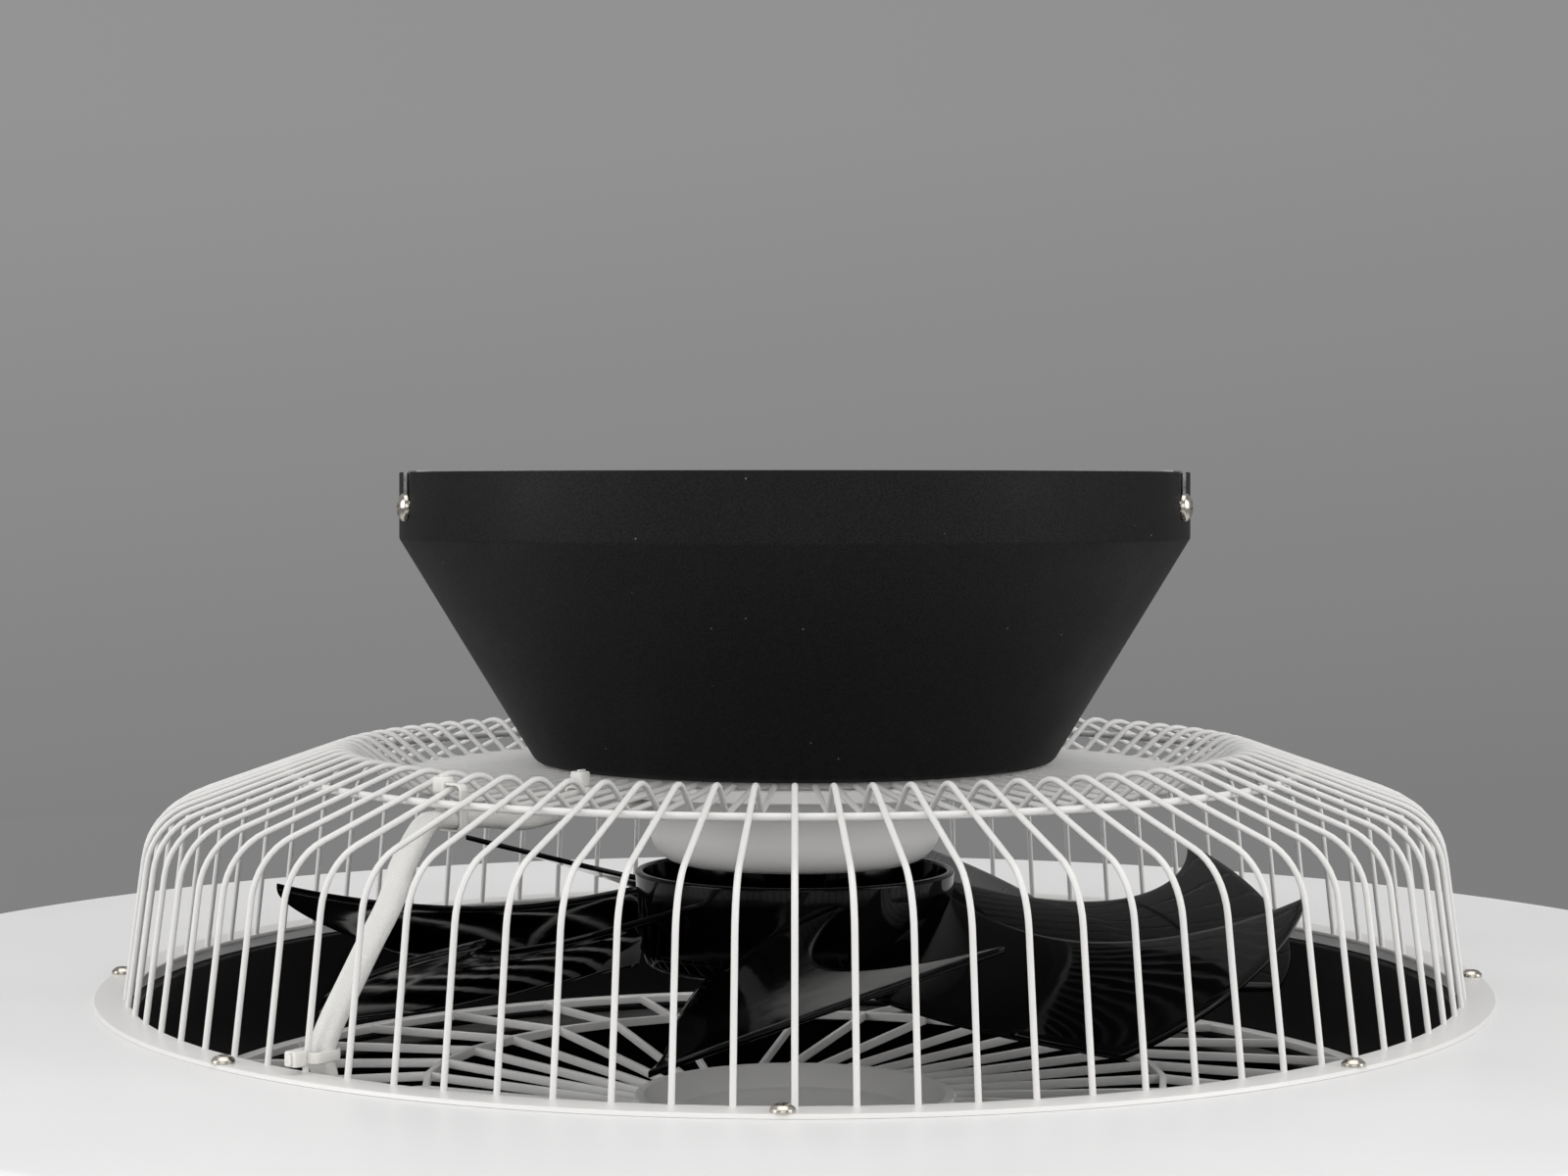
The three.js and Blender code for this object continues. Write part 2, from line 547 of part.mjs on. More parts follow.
function ceilingBracket() {
  const middle = CEILING - BRACKET_T / 2;
  const inner = BRACKET_W / 2 - 8;
  const reach = EAR_R * Math.sin(rad(SLOT_ANGLES[0])) - EAR_W / 2;
  const base = block([2 * reach, BRACKET_W, BRACKET_T], [0, 0, middle]);
  const tab = block([EAR_W, EAR_R - inner, BRACKET_T], [0, -(EAR_R + inner) / 2, middle]);
  const ear = block([EAR_W, BRACKET_T, EAR_H], [0, -EAR_R + BRACKET_T / 2, CEILING - EAR_H / 2]);
  const bore = M5.r + SCREW_FIT;
  const hole = solid(new THREE.CylinderGeometry(bore, bore, 12, 8)).translate([0, -EAR_R, BRACKET_SCREW_Z]);
  const arm = cut(join([tab, ear]), [hole]);
  const { x, length, width } = CEILING_SLOTS;
  const slots = [-x, x].map((at) => block([width, length, BRACKET_T + 2], [at, 0, middle]));
  const wires = post(WIRE_HOLE.r, middle - 3, middle + 3, 16).translate([0, WIRE_HOLE.y, 0]);
  const plate = join([base, ...SLOT_ANGLES.map((a) => turnTo(arm, a))]);
  return piece("ceiling_bracket", cut(plate, [wires, ...slots]), MAT.zinc);
}

function bracketScrews() {
  const seat = CANOPY_R + M5.stand;
  const shank = seat - EAR_R + BRACKET_T + 5;
  const front = panScrew(M5, shank).rotate([90, 0, 0]).translate([0, -seat, BRACKET_SCREW_Z]);
  return SLOT_ANGLES.map((a, i) => piece(`bracket_screw_${i + 1}`, turnTo(front, a), MAT.nickel));
}

const BOX_Y = BOLT_CIRCLE * Math.cos(rad(BOLT_ANGLES[0])) + BOLT.head + BOX_GAP;

function canopyBoxes() {
  const at = (size, x, y) => block(size, [x, y, CANOPY_FLOOR + SEAT + size[2] / 2]);
  return [
    piece("led_driver", at(DRIVER, 10, -BOX_Y - DRIVER[1] / 2), MAT.box),
    piece("fan_controller", at(CONTROLLER, 0, BOX_Y + CONTROLLER[1] / 2), MAT.mattBlack),
    piece("terminal_block", at(TERMINAL, -78, 0), MAT.box),
  ];
}

// ---------- motor ----------
function motorHousing() {
  const [top, z, t, e] = [HOUSING_TOP, HOUSING_Z, HOUSING_T, HOUSING_EDGE];
  const corner = [HOUSING_R - e, z + e];
  const cup = turned([
    [HOUSING_R, top], ...arc(corner, e, 0, -90, 3), [HOUSING_MOUTH, z],
    [HOUSING_MOUTH, z + t], ...arc(corner, e - t, -90, 0, 2), [HOUSING_R - t, top],
  ], 24);
  const depth = BOLT.length - CANOPY_T - PLATE_T + 2;
  const lugs = BOLT_ANGLES.map((a) => {
    const at = polar(BOLT_CIRCLE, a);
    return post(LUG_R, top - depth, top, 7).translate([at.x, at.y, 0]);
  });
  return piece("motor_housing", cut(join([cup, ...lugs]), boltHoles(top - depth + 0.6, top + 1)), MAT.white);
}

function bearingTube() {
  const [top, inner, outer] = [HOUSING_TOP, BEARING.r + RUN, BEARING.r + RUN + TUBE_T];
  const stop = 1.6; // inner step that keeps the two bearings apart
  const [low, high] = [BEARING_LOW_Z + BEARING.width + 0.2, BEARING_HIGH_Z - 0.2];
  const outline = [
    [outer, TUBE_BOTTOM], [outer, top - TUBE_FLANGE.t], [TUBE_FLANGE.r, top - TUBE_FLANGE.t],
    [TUBE_FLANGE.r, top], [inner, top], [inner, high], [inner - stop, high], [inner - stop, low],
    [inner, low], [inner, TUBE_BOTTOM],
  ];
  return piece("bearing_tube", turned(outline, 16), MAT.zinc);
}

function bearings() {
  const one = ring(SHAFT_R + RUN, BEARING.r, 0, BEARING.width, 12);
  return [
    piece("lower_bearing", one.translate([0, 0, BEARING_LOW_Z]), MAT.steel),
    piece("upper_bearing", one.translate([0, 0, BEARING_HIGH_Z]), MAT.steel),
  ];
}

// Laminated core: a yoke ring with T-shaped teeth reaching out to the magnets.
function stator() {
  const step = (2 * Math.PI) / STATOR.teeth;
  const [tip, foot] = [step * 0.4, STATOR.r - STATOR.shoe];
  const [low, high] = [Math.asin(STATOR.neck / STATOR.yoke), Math.asin(STATOR.neck / foot)];
  const corners = [[STATOR.yoke, -low], [foot, -high], [STATOR.r, -tip], [STATOR.r, 0], [STATOR.r, tip],
    [foot, high], [STATOR.yoke, low]];
  const outline = list(STATOR.teeth, (i) =>
    corners.map(([r, a]) => new THREE.Vector2(r * Math.cos(a + i * step), r * Math.sin(a + i * step))));
  const shape = new THREE.Shape(outline.flat());
  const bore = BEARING.r + RUN + TUBE_T + SEAT;
  shape.holes.push(new THREE.Path().absarc(0, 0, bore, 0, 2 * Math.PI, true));
  const options = { depth: STATOR.height, bevelEnabled: false, curveSegments: 10 };
  return piece("stator_core", solid(new THREE.ExtrudeGeometry(shape, options).translate(0, 0, STATOR_Z)), MAT.steel);
}

// End turns of the coils, above and below the core.
function windings() {
  const { inner, outer, height } = WINDING;
  const half = (z, h) =>
    turned([[inner, z], [outer, z], [outer - 1, z + h * 0.8], [outer - 3, z + h], [inner, z + h]], 16);
  return [
    piece("upper_windings", half(STATOR_Z + STATOR.height + SEAT, height), MAT.copper),
    piece("lower_windings", half(STATOR_Z - SEAT, -height), MAT.copper),
  ];
}

function rotor() {
  const [bore, wall] = [SHAFT_R + RUN, CAN_R + CAN_T];
  const can = turned([
    [bore, CAN_FOOT], [CAN_BOSS.r, CAN_FOOT], [CAN_BOSS.r, CAN_Z], [wall - 2, CAN_Z], [wall, CAN_Z + 2],
    [wall, CAN_Z + CAN_H], [CAN_R, CAN_Z + CAN_H], [CAN_R, CAN_Z + CAN_T], [bore, CAN_Z + CAN_T],
  ], 24);
  const magnets = ring(MAGNET_R, MAGNET_R + MAGNET_T, STATOR_Z - 2, STATOR_Z + STATOR.height + 2, 24);
  const nutZ = HUB_Z - SEAT;
  const shaft = lathe([
    [0, nutZ - 6.5], [SHAFT_R - 0.6, nutZ - 6.5], [SHAFT_R, nutZ - 5.9], [SHAFT_R, HOUSING_TOP + 1.4],
    [SHAFT_R - 0.6, HOUSING_TOP + 2], [0, HOUSING_TOP + 2],
  ], 12);
  const nut = cut(post(SHAFT_R + 3.2, nutZ - 5, nutZ, 6), [post(bore, nutZ - 6, nutZ + 1, 10)]);
  const clip = ring(bore, SHAFT_R + 2.4, BEARING_HIGH_Z + BEARING.width + 0.1, HOUSING_TOP + 0.6, 10);
  return [
    piece("rotor_can", can, MAT.steel),
    piece("magnet_ring", magnets, MAT.magnet),
    piece("motor_shaft", shaft, MAT.steel),
    piece("impeller_nut", nut, MAT.zinc),
    piece("shaft_clip", clip, MAT.steel),
  ];
}

// ---------- impeller ----------
// Rises from 0 to 1 and back between the ends of an edge; the power moves its peak towards the hub.
const hump = (u, p) => (u ** p * (1 - u)) / ((p / (p + 1)) ** p / (p + 1));
const mix = THREE.MathUtils.lerp;

// Point of the front blade's middle surface: u runs from hub to tip, v from trailing to leading edge.
function bladePoint(u, v) {
  const lead = mix(LEAD.root, LEAD.tip, u) + LEAD.sweep * hump(u, 0.68);
  const trail = mix(TRAIL.root, TRAIL.tip, u) + TRAIL.sweep * hump(u, 1);
  const leadZ = mix(LEAD.rootZ, LEAD.tipZ, u) - LEAD.dip * hump(u, 1.1);
  const trailZ = mix(TRAIL.rootZ, TRAIL.tipZ, u) - TRAIL.dip * hump(u, 1);
  const tip = TIP_R - 1.5 * v ** 4 - 13 * (1 - v) ** 5;
  const z = HUB_Z + mix(trailZ, leadZ, v) + CAMBER * 4 * v * (1 - v);
  return polar(mix(HUB_R - HUB_T / 2, tip, u), mix(trail, lead, v), z);
}

// One skin of the blade, half its thickness to one side of the middle surface; the edges thin down.
function bladeSkin(across, along, side) {
  const eps = 1e-3;
  return list(along + 1, (i) => list(across + 1, (j) => {
    const [u, v] = [i / along, j / across];
    const du = bladePoint(Math.min(u + eps, 1), v).sub(bladePoint(Math.max(u - eps, 0), v));
    const dv = bladePoint(u, Math.min(v + eps, 1)).sub(bladePoint(u, Math.max(v - eps, 0)));
    const thick = (BLADE_T / 2) * (1 - 0.35 * u) * (j % across ? 1 : 0.5);
    return bladePoint(u, v).addScaledVector(du.cross(dv).normalize(), side * thick);
  })).flat();
}

function bladeBody(across, along) {
  const under = (along + 1) * (across + 1);
  const index = [];
  const at = (i, j, low = 0) => i * (across + 1) + j + low * under;
  const quad = (a, b, c, d) => index.push(a, b, c, a, c, d);
  for (let i = 0; i < along; i++) {
    for (let j = 0; j < across; j++) {
      quad(at(i, j), at(i + 1, j), at(i + 1, j + 1), at(i, j + 1));
      quad(at(i, j, 1), at(i, j + 1, 1), at(i + 1, j + 1, 1), at(i + 1, j, 1));
    }
    quad(at(i, 0), at(i, 0, 1), at(i + 1, 0, 1), at(i + 1, 0));
    quad(at(i, across), at(i + 1, across), at(i + 1, across, 1), at(i, across, 1));
  }
  for (let j = 0; j < across; j++) {
    quad(at(0, j), at(0, j + 1), at(0, j + 1, 1), at(0, j, 1));
    quad(at(along, j), at(along, j, 1), at(along, j + 1, 1), at(along, j + 1));
  }
  const geometry = new THREE.BufferGeometry().setFromPoints(
    [...bladeSkin(across, along, 1), ...bladeSkin(across, along, -1)]);
  geometry.setIndex(index);
  return solid(geometry);
}

function impeller() {
  const [top, base, bore, boss] = [HUB_TOP, HUB_Z, SHAFT_R + RUN, CAN_FOOT - SEAT];
  const hub = turned([
    [bore, base], [HUB_R - 7, base], [HUB_R - 2, base + 4], [HUB_R, top - 1.2], [HUB_R - 1, top],
    [HUB_R - HUB_T, top], [HUB_R - HUB_T - 2, base + 8], [HUB_R - 9, base + HUB_T],
    [HUB_BOSS_R, base + HUB_T], [HUB_BOSS_R, boss], [bore, boss],
  ], 22);
  const [from, to] = [HUB_BOSS_R - 0.5, HUB_R - HUB_T - 1.6];
  const stiffener = block([2, to - from, HUB_H * 0.5],
    [0, -(from + to) / 2, base + HUB_T / 2 + HUB_H * 0.25]);
  const stiffeners = list(HUB_RIBS, (i) => turnTo(stiffener, (360 / HUB_RIBS) * (i + 0.5)));
  const inside = lathe([[0, base + 1], [HUB_R - 7, base + 1], [HUB_R - HUB_T, top], [0, top]], 22);
  const blade = cut(bladeBody(4, 4), [inside]);
  const blades = list(BLADE_COUNT, (i) => turnTo(blade, (360 / BLADE_COUNT) * i));
  return piece("impeller", join([hub, ...stiffeners, ...blades]), MAT.glossBlack);
}

// ---------- lead, grommets and ties ----------
// Centre line of the sleeved lead, in [radius, height] under its rib: out under the cage top,
// down inside the shoulder as one straight run, and out through the duct wall.
const LEAD_LINE = [
  [84, 90], [84, 80.5], [85.6, 75.6], [90, 72.9], [97, 72.6], [108, 74.6], [119, 76.2], [126, 75.8],
  [140, 73.8], [152, 73], [164, 74.6], [176, 76], [186, 76.5], [191, 76.8], [197, 75.4],
  [210.5, 64.5], [219, 52.5], [227.5, 40.7], [234, 28.8], [239.5, 17], [242.7, 8.6], [242.9, 4.4],
  [241.4, -2], [239.8, -9], [240.4, -14.6], [243.6, -17.6], [250, -18], [258, -18],
];
// Its start inside the canopy, from the driver's end to the hole in the floor: [x, y, z].
const LEAD_START = [[-35.3, -57, 101], [-42, -57, 101], [-48.5, -61, 99.5], [-51.8, -65, 95.5]];

function leadSleeve() {
  const start = LEAD_START.map(([x, y, z]) => vec(x, y, z));
  const hung = LEAD_LINE.map(([r, z]) => polar(r, LEAD_ANGLE, z));
  const across = polar(1, LEAD_ANGLE + 90);
  const line = [...start, ...hung];
  return piece("lead_sleeve", swept(line, across, wire(6, LEAD_W, LEAD_T)), MAT.braid);
}

// Rubber ring with a flange at its upper end, its foot at z = 0.
function grommetBody(height) {
  const [inner, outer, edge] = [LEAD_W / 2 + SEAT, GROMMET_R, GROMMET_R + GROMMET.flange];
  return turned([[inner, 0], [outer, 0], [outer, height], [edge, height], [edge, height + GROMMET.t],
    [inner, height + GROMMET.t]], 10);
}

function grommets() {
  const low = PLATE_PAD - PLATE_T - 0.6;
  const upper = grommetBody(CANOPY_FLOOR + SEAT - low).translate([dropAt.x, dropAt.y, low]);
  const r = ductRadiusAt(LEAD_EXIT_Z) - 0.6;
  const body = grommetBody(DUCT_T + 1.8).rotate([90, 0, 0]).translate([0, -r, LEAD_EXIT_Z]);
  return [
    piece("upper_grommet", upper, MAT.rubber),
    piece("lower_grommet", turnTo(body, LEAD_ANGLE), MAT.rubber),
  ];
}

function lightPlug() {
  const top = DUCT_TOP - DUCT_T - SEAT;
  const height = 2 * (top - LEAD_EXIT_Z);
  const from = LEAD_LINE[LEAD_LINE.length - 1][0] + SEAT;
  const body = block([PLUG.width, PLUG.length, height], [0, -from - PLUG.length / 2, LEAD_EXIT_Z]);
  return piece("light_plug", turnTo(body, LEAD_ANGLE), MAT.box);
}

// Where a [radius, height] line passes a given radius (key 0) or height (key 1), the other number.
function onLine(line, value, key) {
  const i = line.findIndex((p, k) => k && (p[key] - value) * (line[k - 1][key] - value) <= 0);
  const [a, b] = [line[i - 1], line[i]];
  return mix(a[1 - key], b[1 - key], (value - a[key]) / (b[key] - a[key]));
}

// A tie is a flat strap round rib and lead, with its square head outside the rib or beside it.
function tieBody(gap, beside) {
  const [w, h] = [LEAD_W + 2 * TIE.fit, gap + RIB_D * 0.6 + LEAD_T / 2 + 2 * TIE.fit];
  const box = (grow, turn) => [[-1, -1], [1, -1], [1, 1], [-1, 1]].map(([sx, sy]) =>
    new THREE.Vector2(turn * sx * (w / 2 + grow), sy * (h / 2 + grow)));
  const frame = new THREE.Shape(box(TIE.t, 1));
  frame.holes.push(new THREE.Path(box(0, -1)));
  const strap = new THREE.ExtrudeGeometry(frame, { depth: TIE.width, bevelEnabled: false });
  const lift = (RIB_D * 0.6 - LEAD_T / 2) / 2 + gap / 2;
  const loop = solid(strap.translate(0, lift, -TIE.width / 2).rotateX(Math.PI / 2));
  const aside = beside ? -(RIB_D * (ROUND / 2) + SEAT + TIE.head[0] / 2) : 0;
  const up = beside ? gap + 1.3 : lift + h / 2 + TIE.t / 2 + TIE.head[2] / 2;
  return join([loop, block(TIE.head, [aside, 0, up])]);
}

function cableTies() {
  const rib = ribLine();
  const place = (name, r, z, gap, tilt, beside = false) => {
    const at = polar(r, LEAD_ANGLE, z);
    const body = turnTo(tieBody(gap, beside).rotate([tilt, 0, 0]), LEAD_ANGLE);
    return piece(name, body.translate([at.x, at.y, at.z]), MAT.nylon);
  };
  const flat = TIE_RADII.map((r, i) => {
    const z = onLine(LEAD_LINE.slice(3), r, 0);
    return place(`cable_tie_${i + 1}`, r, z, onLine(rib, r, 0) - z, 0, i === 1);
  });
  const r = onLine(LEAD_LINE.slice(14), TIE_FOOT_Z, 1);
  const gap = onLine(rib, TIE_FOOT_Z, 1) - r;
  return [...flat, place("cable_tie_3", r, TIE_FOOT_Z, gap, 90)];
}

// ---------- the fan ----------
const fan = new THREE.Group();
fan.add(
  ceilingBracket(), ...bracketScrews(), canopyShell(), mountPlate(), ...canopyBolts(), ...canopyBoxes(),
  ...cageSectors(), cageFlange(), ...flangeScrews(),
  lightPan(), diffuser(), ...ledBoards(), ductRing(), bottomGrille(), lightPlug(),
  motorHousing(), bearingTube(), ...bearings(), stator(), ...windings(), ...rotor(), impeller(),
  leadSleeve(), ...grommets(), ...cableTies(),
);
fan.position.z = -CEILING;
export default fan;
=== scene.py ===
"""Low-profile ceiling fan in a round light body, standing upright on that body.

Sizes are millimetres unless a name says otherwise; heights are counted from the flat top of the light
body and turned into the model's own frame, whose origin is on the ceiling, by `DECK`.
"""
import logging
import math
from collections.abc import Iterable, Mapping, Sequence
from dataclasses import dataclass
from enum import Enum
from typing import Any

import bmesh
import bpy
from mathutils import Matrix, Vector


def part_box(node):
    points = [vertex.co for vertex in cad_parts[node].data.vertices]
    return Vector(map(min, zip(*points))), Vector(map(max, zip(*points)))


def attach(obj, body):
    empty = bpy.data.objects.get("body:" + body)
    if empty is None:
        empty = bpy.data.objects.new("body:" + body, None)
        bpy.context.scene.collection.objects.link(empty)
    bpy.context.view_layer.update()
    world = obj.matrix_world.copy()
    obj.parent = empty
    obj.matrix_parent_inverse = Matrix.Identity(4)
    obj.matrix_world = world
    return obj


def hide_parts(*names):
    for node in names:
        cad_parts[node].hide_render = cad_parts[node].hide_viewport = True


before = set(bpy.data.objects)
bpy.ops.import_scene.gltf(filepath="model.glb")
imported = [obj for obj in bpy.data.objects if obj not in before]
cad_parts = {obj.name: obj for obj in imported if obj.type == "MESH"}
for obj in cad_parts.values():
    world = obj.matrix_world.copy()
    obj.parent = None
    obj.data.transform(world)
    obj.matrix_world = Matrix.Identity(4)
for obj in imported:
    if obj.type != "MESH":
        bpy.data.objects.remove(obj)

LOG = logging.getLogger("ceiling_fan")
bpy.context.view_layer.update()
MM = 0.001
DECK = -194.0  # height of the light body's top face in the model's frame
RIBS = 84  # ribs of the wire cage
RIB_D = 2.2  # their thickness
NOISE_SPAN = (0.3, 0.7)  # where nearly all values of a noise lie
WANDER = (1.0, 0.95, 0.85)  # how far red, green and blue light go under a milky skin, side by side

Point = tuple[float, float]
Corner = tuple[float, float, float]
Shape = bmesh.types.BMesh
Socket = bpy.types.NodeSocket


class Carrier(Enum):
    """The bodies that pieces ride on."""

    FAN = "fan_body"
    ROTOR = "rotor"
    BRACKET = "bracket"


# ---------------------------------------------------------------- finishes


def linear(code: str) -> tuple[float, float, float, float]:
    """Turns an sRGB hex value into linear light.

    Args:
        code: Six hex digits.

    Returns:
        Red, green, blue and an alpha of one.
    """
    parts = [int(code[i:i + 2], 16) / 255 for i in (0, 2, 4)]
    return (*[c / 12.92 if c <= 0.04045 else ((c + 0.055) / 1.055) ** 2.4 for c in parts], 1.0)


def per_mm(size: float) -> float:
    """Pattern scale whose features are about `size` millimetres apart."""
    return 1 / (size * MM)


@dataclass
class Nodes:
    """A node tree, with short ways to add the nodes that the finishes and the studio share."""

    tree: bpy.types.NodeTree

    def feed(self, node: bpy.types.Node, key: str | int, value: Any) -> None:
        """Sets an input of a node.

        Args:
            node: The node.
            key: Name or number of the input.
            value: Its value, or the output that feeds it.
        """
        if isinstance(value, Socket):
            self.tree.links.new(value, node.inputs[key])
        else:
            node.inputs[key].default_value = value

    def add(self, kind: str, inputs: Mapping[Any, Any] | None = None, **settings: Any) -> bpy.types.Node:
        """Adds a node with its settings and links.

        Args:
            kind: The node's type.
            inputs: Input name or number to a value, or to the output that feeds it.
            settings: Properties of the node.

        Returns:
            The new node.
        """
        made = self.tree.nodes.new(kind)
        for key, value in settings.items():
            setattr(made, key, value)
        for key, value in (inputs or {}).items():
            self.feed(made, key, value)
        return made

    def where(self, space: str = "Object") -> Socket:
        """Place on the piece, or direction of a ray in the studio's air."""
        known = self.tree.nodes.get("where")
        return (known or self.add("ShaderNodeTexCoord", name="where")).outputs[space]

    def split(self, vector: Socket) -> Any:
        """The three parts of a place, told by X, Y and Z."""
        return self.add("ShaderNodeSeparateXYZ", {"Vector": vector}).outputs

    def reckon(self, operation: str, *values: Any) -> Socket:
        """Result of a sum with up to three values."""
        return self.add("ShaderNodeMath", dict(enumerate(values)), operation=operation).outputs[0]

    def noise(self, size: float, detail: float, **more: Any) -> Socket:
        """Adds a cloudy pattern.

        Args:
            size: Size of its features.
            detail: How many finer layers it has.
            more: Other inputs of the node.

        Returns:
            The pattern.
        """
        inputs = {"Vector": self.where(), "Scale": per_mm(size), "Detail": detail}
        return self.add("ShaderNodeTexNoise", inputs | more).outputs["Fac"]

    def ramp(self, value: Socket, source: Point, target: Point, **settings: str) -> Socket:
        """Turns one range of a value into another.

        Args:
            value: The value.
            source: Two of its values.
            target: What they become.
            settings: Properties of the node.

        Returns:
            The new value.
        """
        made = self.add("ShaderNodeMapRange", {
            "Value": value, "From Min": source[0], "From Max": source[1],
            "To Min": target[0], "To Max": target[1]}, **settings)
        return made.outputs["Result"]

    def mix(self, part: Any, first: Any, second: Any, **settings: str) -> Socket:
        """Mixes two colours.

        Args:
            part: Share of the second one.
            first: The first colour.
            second: The second colour.
            settings: Properties of the node.

        Returns:
            The mixed colour.
        """
        made = self.add("ShaderNodeMix", {0: part, 6: first, 7: second}, data_type="RGBA", **settings)
        return made.outputs[2]


@dataclass
class Skin(Nodes):
    """The nodes of one surface, with the shader that they feed."""

    shader: bpy.types.Node

    def put(self, inputs: Mapping[str, Any]) -> None:
        """Sets inputs of the shader, each to a value or to the output that feeds it."""
        for key, value in inputs.items():
            self.feed(self.shader, key, value)

    def relief(self, pattern: Socket, strength: float, height: float) -> None:
        """Raises the surface by a pattern.

        Args:
            pattern: The pattern.
            strength: How much of it shows.
            height: From its lowest to its highest place.
        """
        bump = self.add("ShaderNodeBump", {"Height": pattern, "Strength": strength, "Distance": height * MM})
        self.put({"Normal": bump.outputs["Normal"]})

    def toned(self, colour: str, pattern: Socket, target: Point, source: Point = NOISE_SPAN) -> Socket:
        """Darkens and brightens a colour by a pattern.

        Args:
            colour: The colour, in hex digits.
            pattern: The pattern.
            target: Share of the colour that is left at two values of the pattern.
            source: Those two values.

        Returns:
            The toned colour.
        """
        return self.mix(1.0, linear(colour), self.ramp(pattern, source, target), blend_type="MULTIPLY")

    def roughen(self, pattern: Socket, middle: float, change: Point, source: Point = NOISE_SPAN) -> None:
        """Lets the roughness follow a pattern.

        Args:
            pattern: The pattern.
            middle: The finish's own roughness.
            change: What is added to it at two values of the pattern.
            source: Those two values.
        """
        self.put({"Roughness": self.ramp(pattern, source, (middle + change[0], middle + change[1]))})


def new_skin(title: str) -> tuple[bpy.types.Material, Skin]:
    """Makes a material.

    Args:
        title: Its name.

    Returns:
        The material and its nodes.
    """
    made = bpy.data.materials.new(title)
    made.use_nodes = True
    return made, Skin(made.node_tree, made.node_tree.nodes["Principled BSDF"])


@dataclass(frozen=True)
class Finish:
    """A surface finish: its base values, and a texture that its subclass adds."""

    title: str
    slot: str
    colour: str
    roughness: float
    metallic: float = 0.0
    ior: float = 1.5
    gloss: float = 0.5

    def material(self) -> bpy.types.Material:
        """Builds the material once and then hands back the same one.

        Returns:
            The material.
        """
        known = bpy.data.materials.get(self.title)
        if known:
            return known
        made, skin = new_skin(self.title)
        made.diffuse_color = linear(self.colour)
        skin.put({"Base Color": linear(self.colour), "Roughness": self.roughness, "Metallic": self.metallic,
                  "IOR": self.ior, "Specular IOR Level": self.gloss})
        self.texture(skin)
        return made

    def texture(self, skin: Skin) -> None:
        """Adds what the finish shows from close by; a plain finish adds nothing."""


@dataclass(frozen=True)
class PowderCoat(Finish):
    """Baked black powder: a fine sandy skin that scatters light, with a few pale dust specks."""

    grit: float = 0.62  # drawn coarser than the real 0.2 mm so that it shows
    relief: float = 0.1
    specks: str = "8c8c8c"
    apart: float = 14.0  # from one speck to the next
    patch: float = 45.0

    def texture(self, skin: Skin) -> None:
        """Adds the grit as relief, tone and glint, the specks, and patches that are rougher.

        Args:
            skin: The nodes that get them.
        """
        grit = skin.noise(self.grit, 3.0)
        skin.relief(grit, 0.6, self.relief)
        glint = skin.ramp(grit, (0.36, 0.64), (self.gloss * 0.8, self.gloss * 1.26))
        cells = skin.add("ShaderNodeTexVoronoi", {
            "Vector": skin.where(), "Scale": per_mm(self.apart), "Randomness": 1.0})
        speck = skin.ramp(cells.outputs["Distance"], (0.012, 0.03), (0.55, 0.0))
        body = skin.toned(self.colour, grit, (0.72, 1.3))
        skin.put({"Specular IOR Level": glint, "Base Color": skin.mix(speck, body, linear(self.specks))})
        skin.roughen(skin.noise(self.patch, 2.0), self.roughness, (-0.04, 0.05))


@dataclass(frozen=True)
class SprayPaint(Finish):
    """Sprayed enamel on pressed steel: satin, with faint orange peel and hardly any change of tone."""

    peel: float = 1.6
    relief: float = 0.012
    drift: float = 0.02  # slow change of tone over a hand's width
    patch: float = 90.0

    def texture(self, skin: Skin) -> None:
        """Adds the orange peel and the slow drift of tone and gloss.

        Args:
            skin: The nodes that get them.
        """
        skin.relief(skin.noise(self.peel, 1.5), 0.5, self.relief)
        cloud = skin.noise(self.patch, 2.0)
        skin.put({"Base Color": skin.toned(self.colour, cloud, (1 - self.drift, 1.0))})
        skin.roughen(cloud, self.roughness, (-0.03, 0.03))


@dataclass(frozen=True)
class GlossMoulding(Finish):
    """Polished black ABS: mirror bright, its slow sink waves bend what it reflects into ripples."""

    wave: float = 16.0
    relief: float = 0.09
    wipe: float = 30.0

    def texture(self, skin: Skin) -> None:
        """Adds the sink waves and faint wiping marks in the gloss.

        Args:
            skin: The nodes that get them.
        """
        skin.relief(skin.noise(self.wave, 1.0, Distortion=0.4), 1.0, self.relief)
        skin.roughen(skin.noise(self.wipe, 4.0), self.roughness, (0.0, 0.06), (0.35, 0.7))


@dataclass(frozen=True)
class SparkedMoulding(Finish):
    """Plastic from a spark-eroded mould: a fine even grain that breaks up the highlights."""

    grain: float = 0.8
    relief: float = 0.03
    flow: float = 28.0

    def texture(self, skin: Skin) -> None:
        """Adds the mould grain and a slight unevenness of gloss and tone.

        Args:
            skin: The nodes that get them.
        """
        skin.relief(skin.noise(self.grain, 2.0), 0.5, self.relief)
        flow = skin.noise(self.flow, 3.0)
        skin.put({"Base Color": skin.toned(self.colour, flow, (0.95, 1.02))})
        skin.roughen(flow, self.roughness, (-0.05, 0.06))


